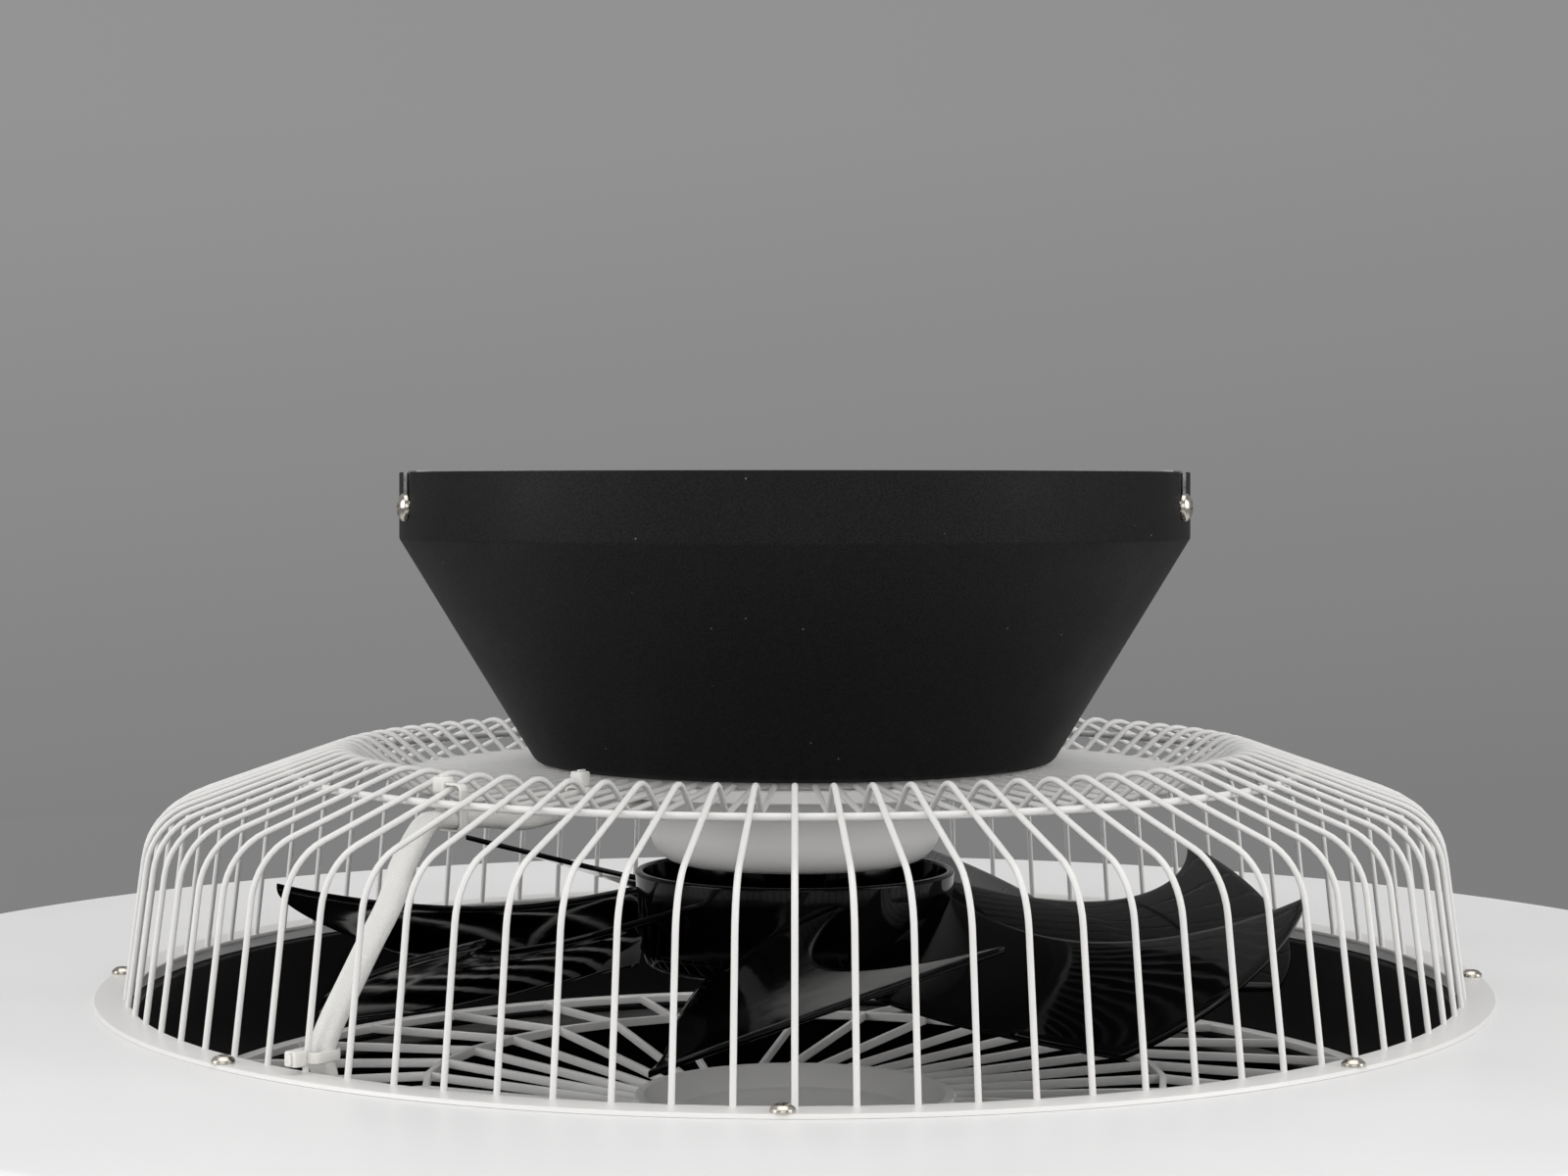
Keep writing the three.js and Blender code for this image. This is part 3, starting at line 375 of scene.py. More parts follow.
@dataclass(frozen=True)
class PlatedMetal(Finish):
    """Plated or ground steel: bright metal, clouded in patches and scored by fine handling marks."""

    cloud: float = 6.0
    uneven: float = 0.12
    score: float = 3.5
    squeeze: float = 14.0  # how much finer the scores are across than along
    scratch: float = 0.01

    def texture(self, skin: Skin) -> None:
        """Adds the clouding and the fine scores.

        Args:
            skin: The nodes that get them.
        """
        cloud = skin.noise(self.cloud, 4.0)
        skin.put({"Base Color": skin.toned(self.colour, cloud, (0.86, 1.04))})
        skin.roughen(cloud, self.roughness, (-self.uneven / 2, self.uneven))
        drawn = skin.add("ShaderNodeMapping", {"Vector": skin.where(), "Scale": (1.0, 1.0, self.squeeze)})
        skin.relief(skin.noise(self.score, 3.0, Vector=drawn.outputs["Vector"]), 0.25, self.scratch)


@dataclass(frozen=True)
class Layered(Finish):
    """Stacked sheets or wound wire seen edge on: fine parallel lines round the axis."""

    pitch: float = 0.5
    groove: float = 0.08
    # share of the colour left in the grooves: painted shade between wire turns, and the dark joints between
    # stacked sheets
    groove_shade_and_joint: float = 0.45

    def texture(self, skin: Skin) -> None:
        """Adds the lines as grooves and as a darker tone in the grooves, which is painted shade.

        Args:
            skin: The nodes that get them.
        """
        lines = skin.add("ShaderNodeTexWave", {
            "Vector": skin.where(), "Scale": per_mm(self.pitch) / (2 * math.pi), "Distortion": 0.3},
            wave_type="BANDS", bands_direction="Z", wave_profile="SIN").outputs["Fac"]
        # painted shade: the colour darkens in the grooves between wire turns; between stacked sheets the dark
        # line is also their joint
        skin.put({"Base Color": skin.toned(self.colour, lines, (self.groove_shade_and_joint, 1.0), (0.0, 1.0))})
        skin.relief(lines, 0.8, self.groove)


@dataclass(frozen=True)
class MilkyPlastic(Finish):
    """Opal acrylic or unfilled nylon: light goes under its skin, which has a slight wave."""

    milk: float = 0.25
    depth: float = 3.0
    clear: float = 0.0
    wave: float = 60.0
    detail: float = 1.0
    strength: float = 0.5
    relief: float = 0.05

    def texture(self, skin: Skin) -> None:
        """Lets light wander under the skin, and adds the wave.

        Args:
            skin: The nodes that get it.
        """
        skin.put({"Subsurface Weight": self.milk, "Subsurface Radius": WANDER,
                  "Subsurface Scale": self.depth * MM, "Transmission Weight": self.clear})
        skin.relief(skin.noise(self.wave, self.detail), self.strength, self.relief)


@dataclass(frozen=True)
class BraidedSleeve(Finish):
    """Woven polyester sleeve: two sets of flat strands that cross on the slant and pass over and under."""

    strand: float = 1.0  # strand width, along and round the sleeve
    girth: float = 26.0
    relief: float = 0.16

    def texture(self, skin: Skin) -> None:
        """Draws the strands from the sleeve's own map, whose unit is once round.

        Args:
            skin: The nodes that get them.
        """
        place = skin.split(skin.add("ShaderNodeUVMap", uv_map="run").outputs["UV"])
        strands = float(round(self.girth / self.strand))
        phases, ridges = [], []
        for sign in (1.0, -1.0):
            slant = skin.reckon("MULTIPLY_ADD", place["Y"], sign, place["X"])
            phases.append(skin.reckon("MULTIPLY", slant, strands))
            ridge = skin.reckon("PINGPONG", phases[-1], 1.0)
            ridges.append(skin.reckon("SINE", skin.reckon("MULTIPLY", ridge, math.pi)))
        over = skin.reckon("GREATER_THAN", skin.reckon("MODULO", phases[0], 1.0), 0.5)
        weave = skin.add("ShaderNodeMix", {0: over, 2: ridges[0], 3: ridges[1]}, data_type="FLOAT").outputs[0]
        # painted shade: each strand's colour darkens towards its edges, where it dips under the crossing
        # strands
        crease_shaded_colour = skin.toned(self.colour, weave, (0.74, 1.0), (0.0, 0.8))
        skin.put({"Base Color": crease_shaded_colour, "Sheen Weight": 0.15})
        skin.relief(weave, 0.8, self.relief)


@dataclass(frozen=True)
class LightBoard(Finish):
    """White solder mask with rows of small yellow light chips."""

    pitch: float = 16.0
    chip: float = 2.8
    chip_colour: str = "e3c45c"

    def texture(self, skin: Skin) -> None:
        """Draws the chips on a square grid.

        Args:
            skin: The nodes that get them.
        """
        place = skin.split(skin.where())
        inside = []
        for axis in ("X", "Y"):
            away = skin.reckon("PINGPONG", place[axis], self.pitch * MM / 2)
            inside.append(skin.reckon("LESS_THAN", away, self.chip * MM / 2))
        chips = skin.reckon("MULTIPLY", *inside)
        skin.put({"Base Color": skin.mix(chips, linear(self.colour), linear(self.chip_colour))})


CANOPY_POWDER = PowderCoat("powder_coated_steel_black", "canopy", "090909", 0.58, gloss=0.25)
PAN_ENAMEL = SprayPaint("sprayed_enamel_light_body", "pan_paint", "ecebeb", 0.42)
PART_ENAMEL = SprayPaint("sprayed_enamel_white", "white_paint", "eeedeb", 0.38)
WIRE_ENAMEL = SprayPaint("dipped_enamel_wire", "white_paint", "dedddb", 0.34, peel=2.6, relief=0.05)
OPAL = MilkyPlastic("opal_acrylic_sheet", "opal", "f1f0ec", 0.35, ior=1.49)
NYLON = MilkyPlastic("natural_nylon", "nylon", "e9e7e1", 0.35, ior=1.53, milk=0.5, depth=2.0, clear=0.12,
                     wave=1.2, detail=2.0, strength=0.3, relief=0.03)
BLADE_ABS = GlossMoulding("polished_abs_black", "gloss_black", "030304", 0.045, ior=1.54, gloss=0.14)
DUCT_ABS = SparkedMoulding("moulded_abs_black", "moulding", "060607", 0.42, ior=1.54, gloss=0.16)
GRILLE_ABS = SparkedMoulding("moulded_abs_white", "white_moulding", "f0efed", 0.45, ior=1.54)
CASE_PC = SparkedMoulding("moulded_polycarbonate_white", "white_moulding", "d6d6d3", 0.4, ior=1.58)
FERRITE = SparkedMoulding("sintered_ferrite", "magnet", "3a3b3d", 0.62, 0.2, grain=0.5)
RUBBER = SparkedMoulding("moulded_rubber_black", "rubber", "19191a", 0.75, grain=0.6)
NICKEL = PlatedMetal("nickel_plated_steel", "nickel", "d2ccc2", 0.2, 1.0)
ZINC = PlatedMetal("zinc_plated_steel", "zinc", "a7a9ab", 0.36, 1.0, cloud=9.0)
BARE_STEEL = PlatedMetal("sheared_steel_edge", "zinc", "c9cacb", 0.3, 1.0, cloud=3.0)
STEEL = PlatedMetal("ground_steel", "steel", "999b9d", 0.28, 1.0, cloud=12.0)
LAMINATION = Layered("laminated_core_steel", "steel", "8c8e90", 0.4, 1.0)
COPPER = Layered("enamelled_copper_wire", "copper", "b0622f", 0.3, 1.0, pitch=0.7, groove=0.2, groove_shade_and_joint=0.35)
BOARD = LightBoard("solder_mask_white", "board", "f1f1ee", 0.45)
SLEEVE = BraidedSleeve("braided_polyester_white", "braid", "e4e3e0", 0.6)


# ---------------------------------------------------------------- shaping


def between(a: float, b: float, part: float) -> float:
    """Value part of the way from a to b."""
    return a + (b - a) * part


def spot(radius: float, degrees: float, z: float = 0.0) -> Vector:
    """Point told by its distance from the axis, its angle from the front and its height over the deck."""
    a = math.radians(degrees)
    return Vector((radius * math.sin(a), -radius * math.cos(a), z + DECK))


def rotation(degrees: float, axis: str = "Z") -> Matrix:
    """Turn about one of the frame's axes."""
    return Matrix.Rotation(math.radians(degrees), 4, axis)


def soften(corners: Sequence[Corner], closed: bool = True, step: float = 12.0) -> list[Point]:
    """Rounds the corners of a line of [across, up] points.

    Args:
        corners: Across, up and the rounding radius of each corner.
        closed: Whether the line runs back to its first point.
        step: Largest turn between two points of an arc, in degrees.

    Returns:
        The points of the rounded line.
    """
    made: list[Point] = []
    count = len(corners)
    for i, (x, y, bend) in enumerate(corners):
        at_end = not closed and i in (0, count - 1)
        if not bend or at_end:
            made.append((x, y))
            continue
        here = Vector((x, y))
        a = (Vector(corners[i - 1][:2]) - here).normalized()
        b = (Vector(corners[(i + 1) % count][:2]) - here).normalized()
        half = a.angle(b) / 2
        middle = here + (a + b).normalized() * (bend / math.sin(half))
        first = here + a * (bend / math.tan(half)) - middle
        last = here + b * (bend / math.tan(half)) - middle
        arc = math.atan2(first.x * last.y - first.y * last.x, first.dot(last))
        steps = max(2, math.ceil(abs(math.degrees(arc)) / step))
        for k in range(steps + 1):
            turned = Matrix.Rotation(arc * k / steps, 2) @ first + middle
            made.append((turned.x, turned.y))
    return made


def revolve(outline: Sequence[Point], steps: int, closed: bool = True) -> Shape:
    """Spins an outline of [radius, height] points a full turn about the fan's axis.

    Args:
        outline: The outline, heights over the deck.
        steps: Faces round the turn.
        closed: Whether the outline is a ring; an open one starts and ends on the axis.

    Returns:
        The turned shape, in metres.
    """
    bm = bmesh.new()
    verts = [bm.verts.new((r * MM, 0.0, (z + DECK) * MM)) for r, z in outline]
    pairs = list(zip(verts, verts[1:])) + ([(verts[-1], verts[0])] if closed else [])
    edges = [bm.edges.new(pair) for pair in pairs]
    bmesh.ops.spin(bm, geom=verts + edges, cent=(0, 0, 0), axis=(0, 0, 1), dvec=(0, 0, 0),
                   angle=2 * math.pi, steps=steps, use_merge=True, use_normal_flip=False, use_duplicate=False)
    bmesh.ops.remove_doubles(bm, verts=bm.verts, dist=1e-6)
    bmesh.ops.recalc_face_normals(bm, faces=bm.faces)
    return bm


def frames_along(line: Sequence[Vector], side: Vector, closed: bool) -> list[Matrix]:
    """Works out how a section stands at each point of a line, without twist.

    Args:
        line: Points of the line, in millimetres of the model's frame.
        side: Direction that the section's first number follows.
        closed: Whether the line is a loop.

    Returns:
        The section's place and turn at each point, in metres.
    """
    made = []
    for i, point in enumerate(line):
        before = line[i - 1] if i or closed else point
        after = line[(i + 1) % len(line)] if i < len(line) - 1 or closed else point
        along = ((point - before).normalized() + (after - point).normalized()).normalized()
        across = (side - along * side.dot(along)).normalized()
        up = along.cross(across)
        made.append(Matrix.Translation(point * MM) @ Matrix((across, up, along)).transposed().to_4x4())
    return made


def sweep(line: Sequence[Vector], side: Vector, section: Sequence[Point], closed: bool = False) -> Shape:
    """Extrudes a section along a line, without twist, and maps it.

    Args:
        line: Points of the line, in millimetres of the model's frame.
        side: Direction that the section's first number follows.
        section: Closed outline as [along side, square to it] points.
        closed: Whether the line is a loop.

    Returns:
        The swept shape, in metres, with a map named run: once round across, and the same scale along.
    """
    bm = bmesh.new()
    ring_of = bm.verts.layers.int.new("ring")
    spot_of = bm.verts.layers.int.new("spot")
    count = len(section)
    frames = frames_along(line, side, closed)
    ring = [bm.verts.new(frames[0] @ Vector((a * MM, b * MM, 0))) for a, b in section]
    for k, vert in enumerate(ring):
        vert[spot_of] = k
    edges = [bm.edges.new((ring[k], ring[(k + 1) % count])) for k in range(count)]
    first_edges = edges
    if not closed:
        bmesh.ops.contextual_create(bm, geom=edges)
    for i in range(1, len(line)):
        new = bmesh.ops.extrude_edge_only(bm, edges=edges)["geom"]
        verts = [g for g in new if isinstance(g, bmesh.types.BMVert)]
        edges = [g for g in new if isinstance(g, bmesh.types.BMEdge)]
        bmesh.ops.transform(bm, matrix=frames[i] @ frames[i - 1].inverted(), verts=verts)
        for vert in verts:
            vert[ring_of] = i
    if closed:
        bmesh.ops.bridge_loops(bm, edges=edges + first_edges)
    else:
        bmesh.ops.contextual_create(bm, geom=edges)
    runs = [0.0]
    for a, b in zip(line, line[1:]):
        runs.append(runs[-1] + (b - a).length)
    girth = sum((Vector(section[k]) - Vector(section[k - 1])).length for k in range(count))
    uv = bm.loops.layers.uv.new("run")
    for face in bm.faces:
        wraps = {0, count - 1} <= {loop.vert[spot_of] for loop in face.loops} and len(face.verts) == 4
        for loop in face.loops:
            around = loop.vert[spot_of] or (count if wraps else 0)
            loop[uv].uv = (around / count, runs[loop.vert[ring_of]] / girth)
    bmesh.ops.recalc_face_normals(bm, faces=bm.faces)
    return bm


def oval(width: float, height: float, sides: int, power: float = 2.0) -> list[Point]:
    """Outline of an oval; a power above two squares it off.

    Args:
        width: Full width.
        height: Full height.
        sides: Number of points.
        power: Two for an ellipse, more for a rounded box.

    Returns:
        The outline's points.
    """
    made = []
    for k in range(sides):
        a = 2 * math.pi * k / sides
        c, s = math.cos(a), math.sin(a)
        made.append((width / 2 * math.copysign(abs(c) ** (2 / power), c),
                     height / 2 * math.copysign(abs(s) ** (2 / power), s)))
    return made


def smooth_line(points: Sequence[Vector], step: float) -> list[Vector]:
    """Runs one smooth curve through points.

    Args:
        points: Points of the line, in millimetres.
        step: Spacing of the new points.

    Returns:
        Points of the smooth curve.
    """
    made = []
    for i in range(len(points) - 1):
        p0, p1, p2 = points[max(i - 1, 0)], points[i], points[i + 1]
        p3 = points[min(i + 2, len(points) - 1)]
        pieces = max(1, round((p2 - p1).length / step))
        for k in range(pieces):
            t = k / pieces
            made.append(0.5 * ((2 * p1) + (p2 - p0) * t + (2 * p0 - 5 * p1 + 4 * p2 - p3) * t ** 2
                               + (3 * p1 - p0 - 3 * p2 + p3) * t ** 3))
    made.append(points[-1].copy())
    return made


def shift(bm: Shape, x: float, y: float, z: float) -> None:
    """Moves a whole shape."""
    bmesh.ops.translate(bm, verts=bm.verts, vec=(x * MM, y * MM, z * MM))


def turn(bm: Shape, degrees: float) -> None:
    """Turns a whole shape about the fan's axis."""
    matrix = Matrix.Rotation(math.radians(degrees), 3, "Z")
    bmesh.ops.rotate(bm, verts=bm.verts, cent=(0, 0, 0), matrix=matrix)


def put_at(bm: Shape, place: Matrix) -> None:
    """Carries a whole shape from the origin to a place."""
    bmesh.ops.transform(bm, matrix=place, verts=bm.verts)


def keen_edges(bm: Shape, degrees: float) -> list[bmesh.types.BMEdge]:
    """Edges of a shape where two faces meet at more than an angle."""
    return [e for e in bm.edges if e.calc_face_angle(0) > math.radians(degrees)]


def round_edges(bm: Shape, edges: list[bmesh.types.BMEdge], offset: float, segments: int = 2,
                clamp: bool = False) -> None:
    """Rounds some edges of a shape.

    Args:
        bm: The shape.
        edges: Its edges that are rounded.
        offset: Width of the rounding on each side.
        segments: Faces across it.
        clamp: Whether it stops where roundings would meet.
    """
    bmesh.ops.bevel(bm, geom=edges, offset=offset * MM, offset_type="OFFSET", segments=segments,
                    affect="EDGES", profile=0.5, material=-1, clamp_overlap=clamp)


def round_copies(bm: Shape, count: int) -> None:
    """Repeats the whole of a shape round the fan's axis.

    Args:
        bm: The shape, which is the first copy.
        count: How many there are in the end.
    """
    bmesh.ops.spin(bm, geom=bm.verts[:] + bm.edges[:] + bm.faces[:], cent=(0, 0, 0), axis=(0, 0, 1),
                   dvec=(0, 0, 0), angle=2 * math.pi * (count - 1) / count, steps=count - 1,
                   use_duplicate=True, use_merge=False, use_normal_flip=False)


def to_mesh(bm: Shape, name: str) -> bpy.types.Mesh:
    """Turns a shape into a mesh.

    Args:
        bm: The shape; it is freed.
        name: The mesh's name.

    Returns:
        The mesh.
    """
    mesh = bpy.data.meshes.new(name)
    bm.to_mesh(mesh)
    bm.free()
    return mesh


def new_object(name: str, data: bpy.types.ID) -> bpy.types.Object:
    """Adds an object to the scene.

    Args:
        name: Its name.
        data: The mesh, lamp or camera that it shows.

    Returns:
        The object.
    """
    made = bpy.data.objects.new(name, data)
    bpy.context.scene.collection.objects.link(made)
    return made


def add_shape(bm: Shape, other: Shape) -> None:
    """Adds another shape's faces to a shape.

    Args:
        bm: The shape that gets them.
        other: The other shape; it is freed.
    """
    mesh = to_mesh(other, "joining")
    bm.from_mesh(mesh)
    bpy.data.meshes.remove(mesh)


def brick(size: Corner, at: Corner, bevel: float = 0.0, segments: int = 2) -> Shape:
    """A box with rounded edges.

    Args:
        size: Its three sizes.
        at: Its centre, height over the deck.
        bevel: Rounding of the edges.
        segments: Faces across a rounding.

    Returns:
        The box, in metres.
    """
    bm = bmesh.new()
    bmesh.ops.create_cube(bm, size=MM)
    bmesh.ops.scale(bm, vec=size, verts=bm.verts)
    if bevel:
        round_edges(bm, bm.edges[:], bevel, segments)
    shift(bm, at[0], at[1], at[2] + DECK)
    return bm


def carve(bm: Shape, tool: Shape) -> Shape:
    """Cuts one shape out of another.

    Args:
        bm: The shape that is cut; it is freed.
        tool: The shape taken away; it is freed.

    Returns:
        The cut shape.
    """
    objects = [new_object(name, to_mesh(shape, name)) for name, shape in (("carved", bm), ("tool", tool))]
    cutting = objects[0].modifiers.new("cut", "BOOLEAN")
    cutting.operation, cutting.solver, cutting.object = "DIFFERENCE", "EXACT", objects[1]
    graph = bpy.context.evaluated_depsgraph_get()
    cut_mesh = bpy.data.meshes.new_from_object(objects[0].evaluated_get(graph))
    made = bmesh.new()
    made.from_mesh(cut_mesh)
    for thing in objects:
        mesh = thing.data
        bpy.data.objects.remove(thing)
        bpy.data.meshes.remove(mesh)
    bpy.data.meshes.remove(cut_mesh)
    return made


def publish(bm: Shape, name: str, finish: Finish, stands_for: Iterable[str] = (),
            carrier: Carrier = Carrier.FAN, crease: float = 32.0, extra: Finish | None = None) -> None:
    """Turns a shape into a finished piece of the fan.

    Args:
        bm: The shape, in metres of the model's frame; it is freed.
        name: The piece's name.
        finish: Its finish.
        stands_for: The CAD nodes that it replaces.
        carrier: The body that it rides on.
        crease: Edges sharper than this, in degrees, stay sharp.
        extra: Finish of the faces whose material number is one.
    """
    mesh = to_mesh(bm, name)
    mesh.shade_smooth()
    mesh.set_sharp_from_angle(angle=math.radians(crease))
    for each in (finish, extra):
        if each:
            mesh.materials.append(each.material())
    made = new_object(name, mesh)
    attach(made, carrier.value)
    if stands_for:
        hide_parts(*stands_for)
    LOG.info("%s: %d faces, %s", name, len(mesh.polygons), finish.title)


def dress(finish: Finish, *nodes: str) -> None:
    """Gives a finish to CAD nodes that keep their own shape.

    Args:
        finish: The finish.
        nodes: Names of the nodes.
    """
    for name in nodes:
        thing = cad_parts[name]
        thing.data.materials.clear()
        thing.data.materials.append(finish.material())
    LOG.info("%s: %s", finish.title, ", ".join(nodes))


def node_box(node: str) -> tuple[Vector, Vector, float]:
    """Measures a CAD node.

    Args:
        node: Its name.

    Returns:
        Its size, its centre and the height of its foot over the deck, in millimetres.
    """
    low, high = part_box(node)
    return (high - low) / MM, (high + low) / 2 / MM, low.z / MM - DECK


# ---------------------------------------------------------------- screws


@dataclass
class PanScrew:
    """Pan-head screw with a cross recess, standing on z = 0 with its shank down."""

    head: float
    dome: float
    shank: float
    shank_r: float
    sides: int = 32

    def shape(self) -> Shape:
        """Builds the screw at the origin, in metres.

        Returns:
            Head, recess and shank.
        """
        r, h, s, low = self.head, self.dome, self.shank_r, -self.shank
        outline = soften([
            (0.0, low, 0.0), (s * 0.7, low, 0.0), (s, low + 1.0, 0.0), (s, 0.0, 0.0), (r, 0.0, 0.12),
            (r * 0.97, h * 0.42, h * 0.3), (r * 0.62, h * 0.93, r * 0.5), (0.0, h, 0.0)], closed=False)
        body = revolve([(a, b - DECK) for a, b in outline], self.sides, closed=False)
        arm, width, depth = r * 0.56, r * 0.2, h * 0.75
        mouth, floor = (arm, width, h + 0.3), (arm * 0.45, width * 0.8, h - depth)
        for angle in (0.0, 90.0):
            bar = bmesh.new()
            bmesh.ops.create_cube(bar, size=1.0)
            for vert in bar.verts:
                length, across, z = mouth if vert.co.z > 0 else floor
                vert.co = Vector((vert.co.x * 2 * length, vert.co.y * across, z)) * MM
            turn(bar, angle)
            body = carve(body, bar)
        return body


def round_places(angles: Iterable[float], radius: float, z: float, outward: bool = False) -> list[Matrix]:
    """Places round the fan's axis.

    Args:
        angles: Angle of each place from the front.
        radius: Distance from the axis.
        z: Height over the deck.
        outward: Whether what stands there points away from the axis, not up.

    Returns:
        The places.
    """
    made = []
    for angle in angles:
        lay = rotation(angle) @ rotation(90, "X") if outward else Matrix()
        made.append(Matrix.Translation(spot(radius, angle, z) * MM) @ lay)
    return made


def set_screws(screw: PanScrew, name: str, node: str, finish: Finish, places: Iterable[Matrix],
               carrier: Carrier = Carrier.FAN) -> None:
    """Sets copies of one screw, each turned by its own amount.

    Args:
        screw: The screw.
        name: Start of each piece's name.
        node: Start of the name of each CAD node.
        finish: Its finish.
        places: The place of each screw.
        carrier: The body that the screws ride on.
    """
    model = screw.shape()
    for i, place in enumerate(places):
        one = model.copy()
        put_at(one, place @ rotation(17 + 47 * i % 90))
        publish(one, f"{name}_{i + 1}", finish, [f"{node}_{i + 1}"], carrier)
    model.free()


# ---------------------------------------------------------------- sub-assemblies


@dataclass
class Canopy:
    """Black bowl against the ceiling, with its bracket, rim screws and what is inside it."""

    rim_r: float = 150.0
    foot_r: float = 98.4
    foot_z: float = 83.9
    rim_z: float = 193.5
    band: float = 24.8
    sheet: float = 1.2
    foot_bend: float = 5.0
    band_bend: float = 2.2
    hole_r: float = 16.0
    slot_w: float = 12.0
    slot_depth: float = 16.2
    slot_bend: float = 2.0
    slot_angles: tuple[float, ...] = (72.0, 108.0, -72.0, -108.0)
    bolt_circle: float = 50.4
    bolt_angles: tuple[float, ...] = (65.0, 115.0, -65.0, -115.0)
    screw_z: float = 180.5
    plate_r: float = 97.5
    plate_t: float = 1.6
    plate_land: float = 81.4
    plate_pad: float = 83.6
    plate_step: Point = (91.0, 93.0)  # where the pad ends and the land begins
    plate_lip: float = 4.8
    case_share: float = 0.68  # a closed case's body, of its whole height
    lid_step: float = 1.2
    lid_lap: float = 0.6

    def slot_tool(self, angle: float) -> Shape:
        """Builds the block that cuts a slot: tall, with rounded lower corners.

        Args:
            angle: Where the slot is, from the front.

        Returns:
            The block.
        """
        tall = self.slot_depth + 10
        tool = brick((self.slot_w, 20, tall), (0, -self.rim_r, self.rim_z - self.slot_depth + tall / 2))
        low = [e for e in tool.edges if all(v.co.z < (self.rim_z - 5 + DECK) * MM for v in e.verts)
               and abs(e.verts[0].co.x - e.verts[1].co.x) < 1e-6]
        round_edges(tool, low, self.slot_bend, 5)
        turn(tool, angle)
        return tool

    def bowl(self) -> None:
        """Spins the bowl and cuts its open-topped slots, whose sheared edges stay bare."""
        t, r, rim, z, band = self.sheet, self.rim_r, self.rim_z, self.foot_z, self.rim_z - self.band
        half_lean = math.atan2(band - z, r - self.foot_r) / 2
        outline = soften([
            (self.hole_r, z, 0.3), (self.foot_r, z, self.foot_bend), (r, band, self.band_bend), (r, rim, 0.4),
            (r - t, rim, 0.4), (r - t, band + t * math.tan(math.pi / 4 - half_lean), self.band_bend - 0.5),
            (self.foot_r - t * math.tan(half_lean), z + t, self.foot_bend - t), (self.hole_r, z + t, 0.3)])
        bm = revolve(outline, 192)
        for angle in self.slot_angles:
            bm = carve(bm, self.slot_tool(angle))
        low, high = (rim - self.slot_depth - 1 + DECK) * MM, (rim - 0.5 + DECK) * MM
        for face in bm.faces:
            middle = face.calc_center_median()
            out = Vector((middle.x, middle.y, 0)).normalized()
            if abs(face.normal.dot(out)) < 0.3 and low < middle.z < high:
                face.material_index = 1
        publish(bm, "canopy_bowl", CANOPY_POWDER, ["canopy_shell"], extra=BARE_STEEL)

    def plate(self) -> None:
        """Spins the white plate between bowl and cage: raised middle, flat land and turned-down rim."""
        r, t, land, pad = self.plate_r, self.plate_t, self.plate_land, self.plate_pad
        lip, (pad_r, land_r) = land - self.plate_lip, self.plate_step
        outline = soften([
            (self.hole_r, pad, 0.0), (pad_r, pad, 1.2), (land_r, land, 1.2), (r, land, 1.5), (r, lip, 0.3),
            (r - t, lip, 0.3), (r - t, land - t, 0.6), (land_r - 1, land - t, 0.6), (pad_r - 1, pad - t, 0.6),
            (self.hole_r, pad - t, 0.0)])
        publish(revolve(outline, 160), "carrier_plate", PART_ENAMEL, ["mount_plate"])

    def bracket(self) -> None:
        """Refines the ceiling bracket: bent tabs, slots and rounded sheet edges."""
        bm = bmesh.new()
        bm.from_mesh(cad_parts["ceiling_bracket"].data)
        bmesh.ops.remove_doubles(bm, verts=bm.verts, dist=2e-6)
        bmesh.ops.dissolve_limit(bm, angle_limit=math.radians(1), verts=bm.verts, edges=bm.edges)
        round_edges(bm, keen_edges(bm, 50), 0.35, clamp=True)
        publish(bm, "hanging_bracket", ZINC, ["ceiling_bracket"], Carrier.BRACKET)

    def screws(self) -> None:
        """Sets the four nickel rim screws and the four zinc floor bolts."""
        screw = PanScrew(head=5.25, dome=3.3, shank=10.0, shank_r=2.5)
        rim = round_places(self.slot_angles, self.rim_r + 0.1, self.screw_z, outward=True)
        set_screws(screw, "rim_screw", "bracket_screw", NICKEL, rim, Carrier.BRACKET)
        bolt = PanScrew(head=4.2, dome=2.6, shank=12.0, shank_r=2.0)
        floor = round_places(self.bolt_angles, self.bolt_circle, self.foot_z + self.sheet)
        set_screws(bolt, "floor_bolt", "canopy_bolt", ZINC, floor)

    def case(self, node: str, name: str, finish: Finish) -> None:
        """Builds a closed case: body, stepped lid and two screw heads on it.

        Args:
            node: The CAD node that it stands for.
            name: The piece's name.
            finish: Its finish.
        """
        size, at, foot = node_box(node)
        split = size.z * self.case_share
        lid = size.z - split
        bm = brick((size.x, size.y, split), (at.x, at.y, foot + split / 2), 1.6, 3)
        add_shape(bm, brick((size.x - self.lid_step, size.y - self.lid_step, lid + self.lid_lap),
                            (at.x, at.y, foot + split + (lid - self.lid_lap) / 2), 1.4, 3))
        for side in (-1, 1):
            head = revolve([(0.0, 0.0), (2.4, 0.0), (2.4, 0.7), (1.8, 1.1), (0.0, 1.1)], 20, closed=False)
            shift(head, at.x + side * (size.x / 2 - 7), at.y, foot + size.z - 1.1)
            add_shape(bm, head)
        publish(bm, name, finish, [node])

    def terminals(self) -> None:
        """Builds the three-way terminal block, with two bores for clamp screws in each way."""
        size, at, foot = node_box("terminal_block")
        bm = brick((size.x, size.y, size.z * 0.55), (at.x, at.y, foot + size.z * 0.275), 0.8)
        for way in (-1, 0, 1):
            y = at.y + way * size.y / 3
            pole = brick((size.x - 4, size.y / 3 - 1.6, size.z * 0.5 - 0.2),
                         (at.x, y, foot + size.z * 0.75 - 0.1), 1.4)
            for side in (-1, 1):
                bore = revolve([(0.0, 0.0), (2.0, 0.0), (2.0, 5.0), (0.0, 5.0)], 20, closed=False)
                shift(bore, at.x + side * 3.6, y, foot + size.z - 2.2)
                pole = carve(pole, bore)
            add_shape(bm, pole)
        publish(bm, "terminal_strip", CASE_PC, ["terminal_block"])

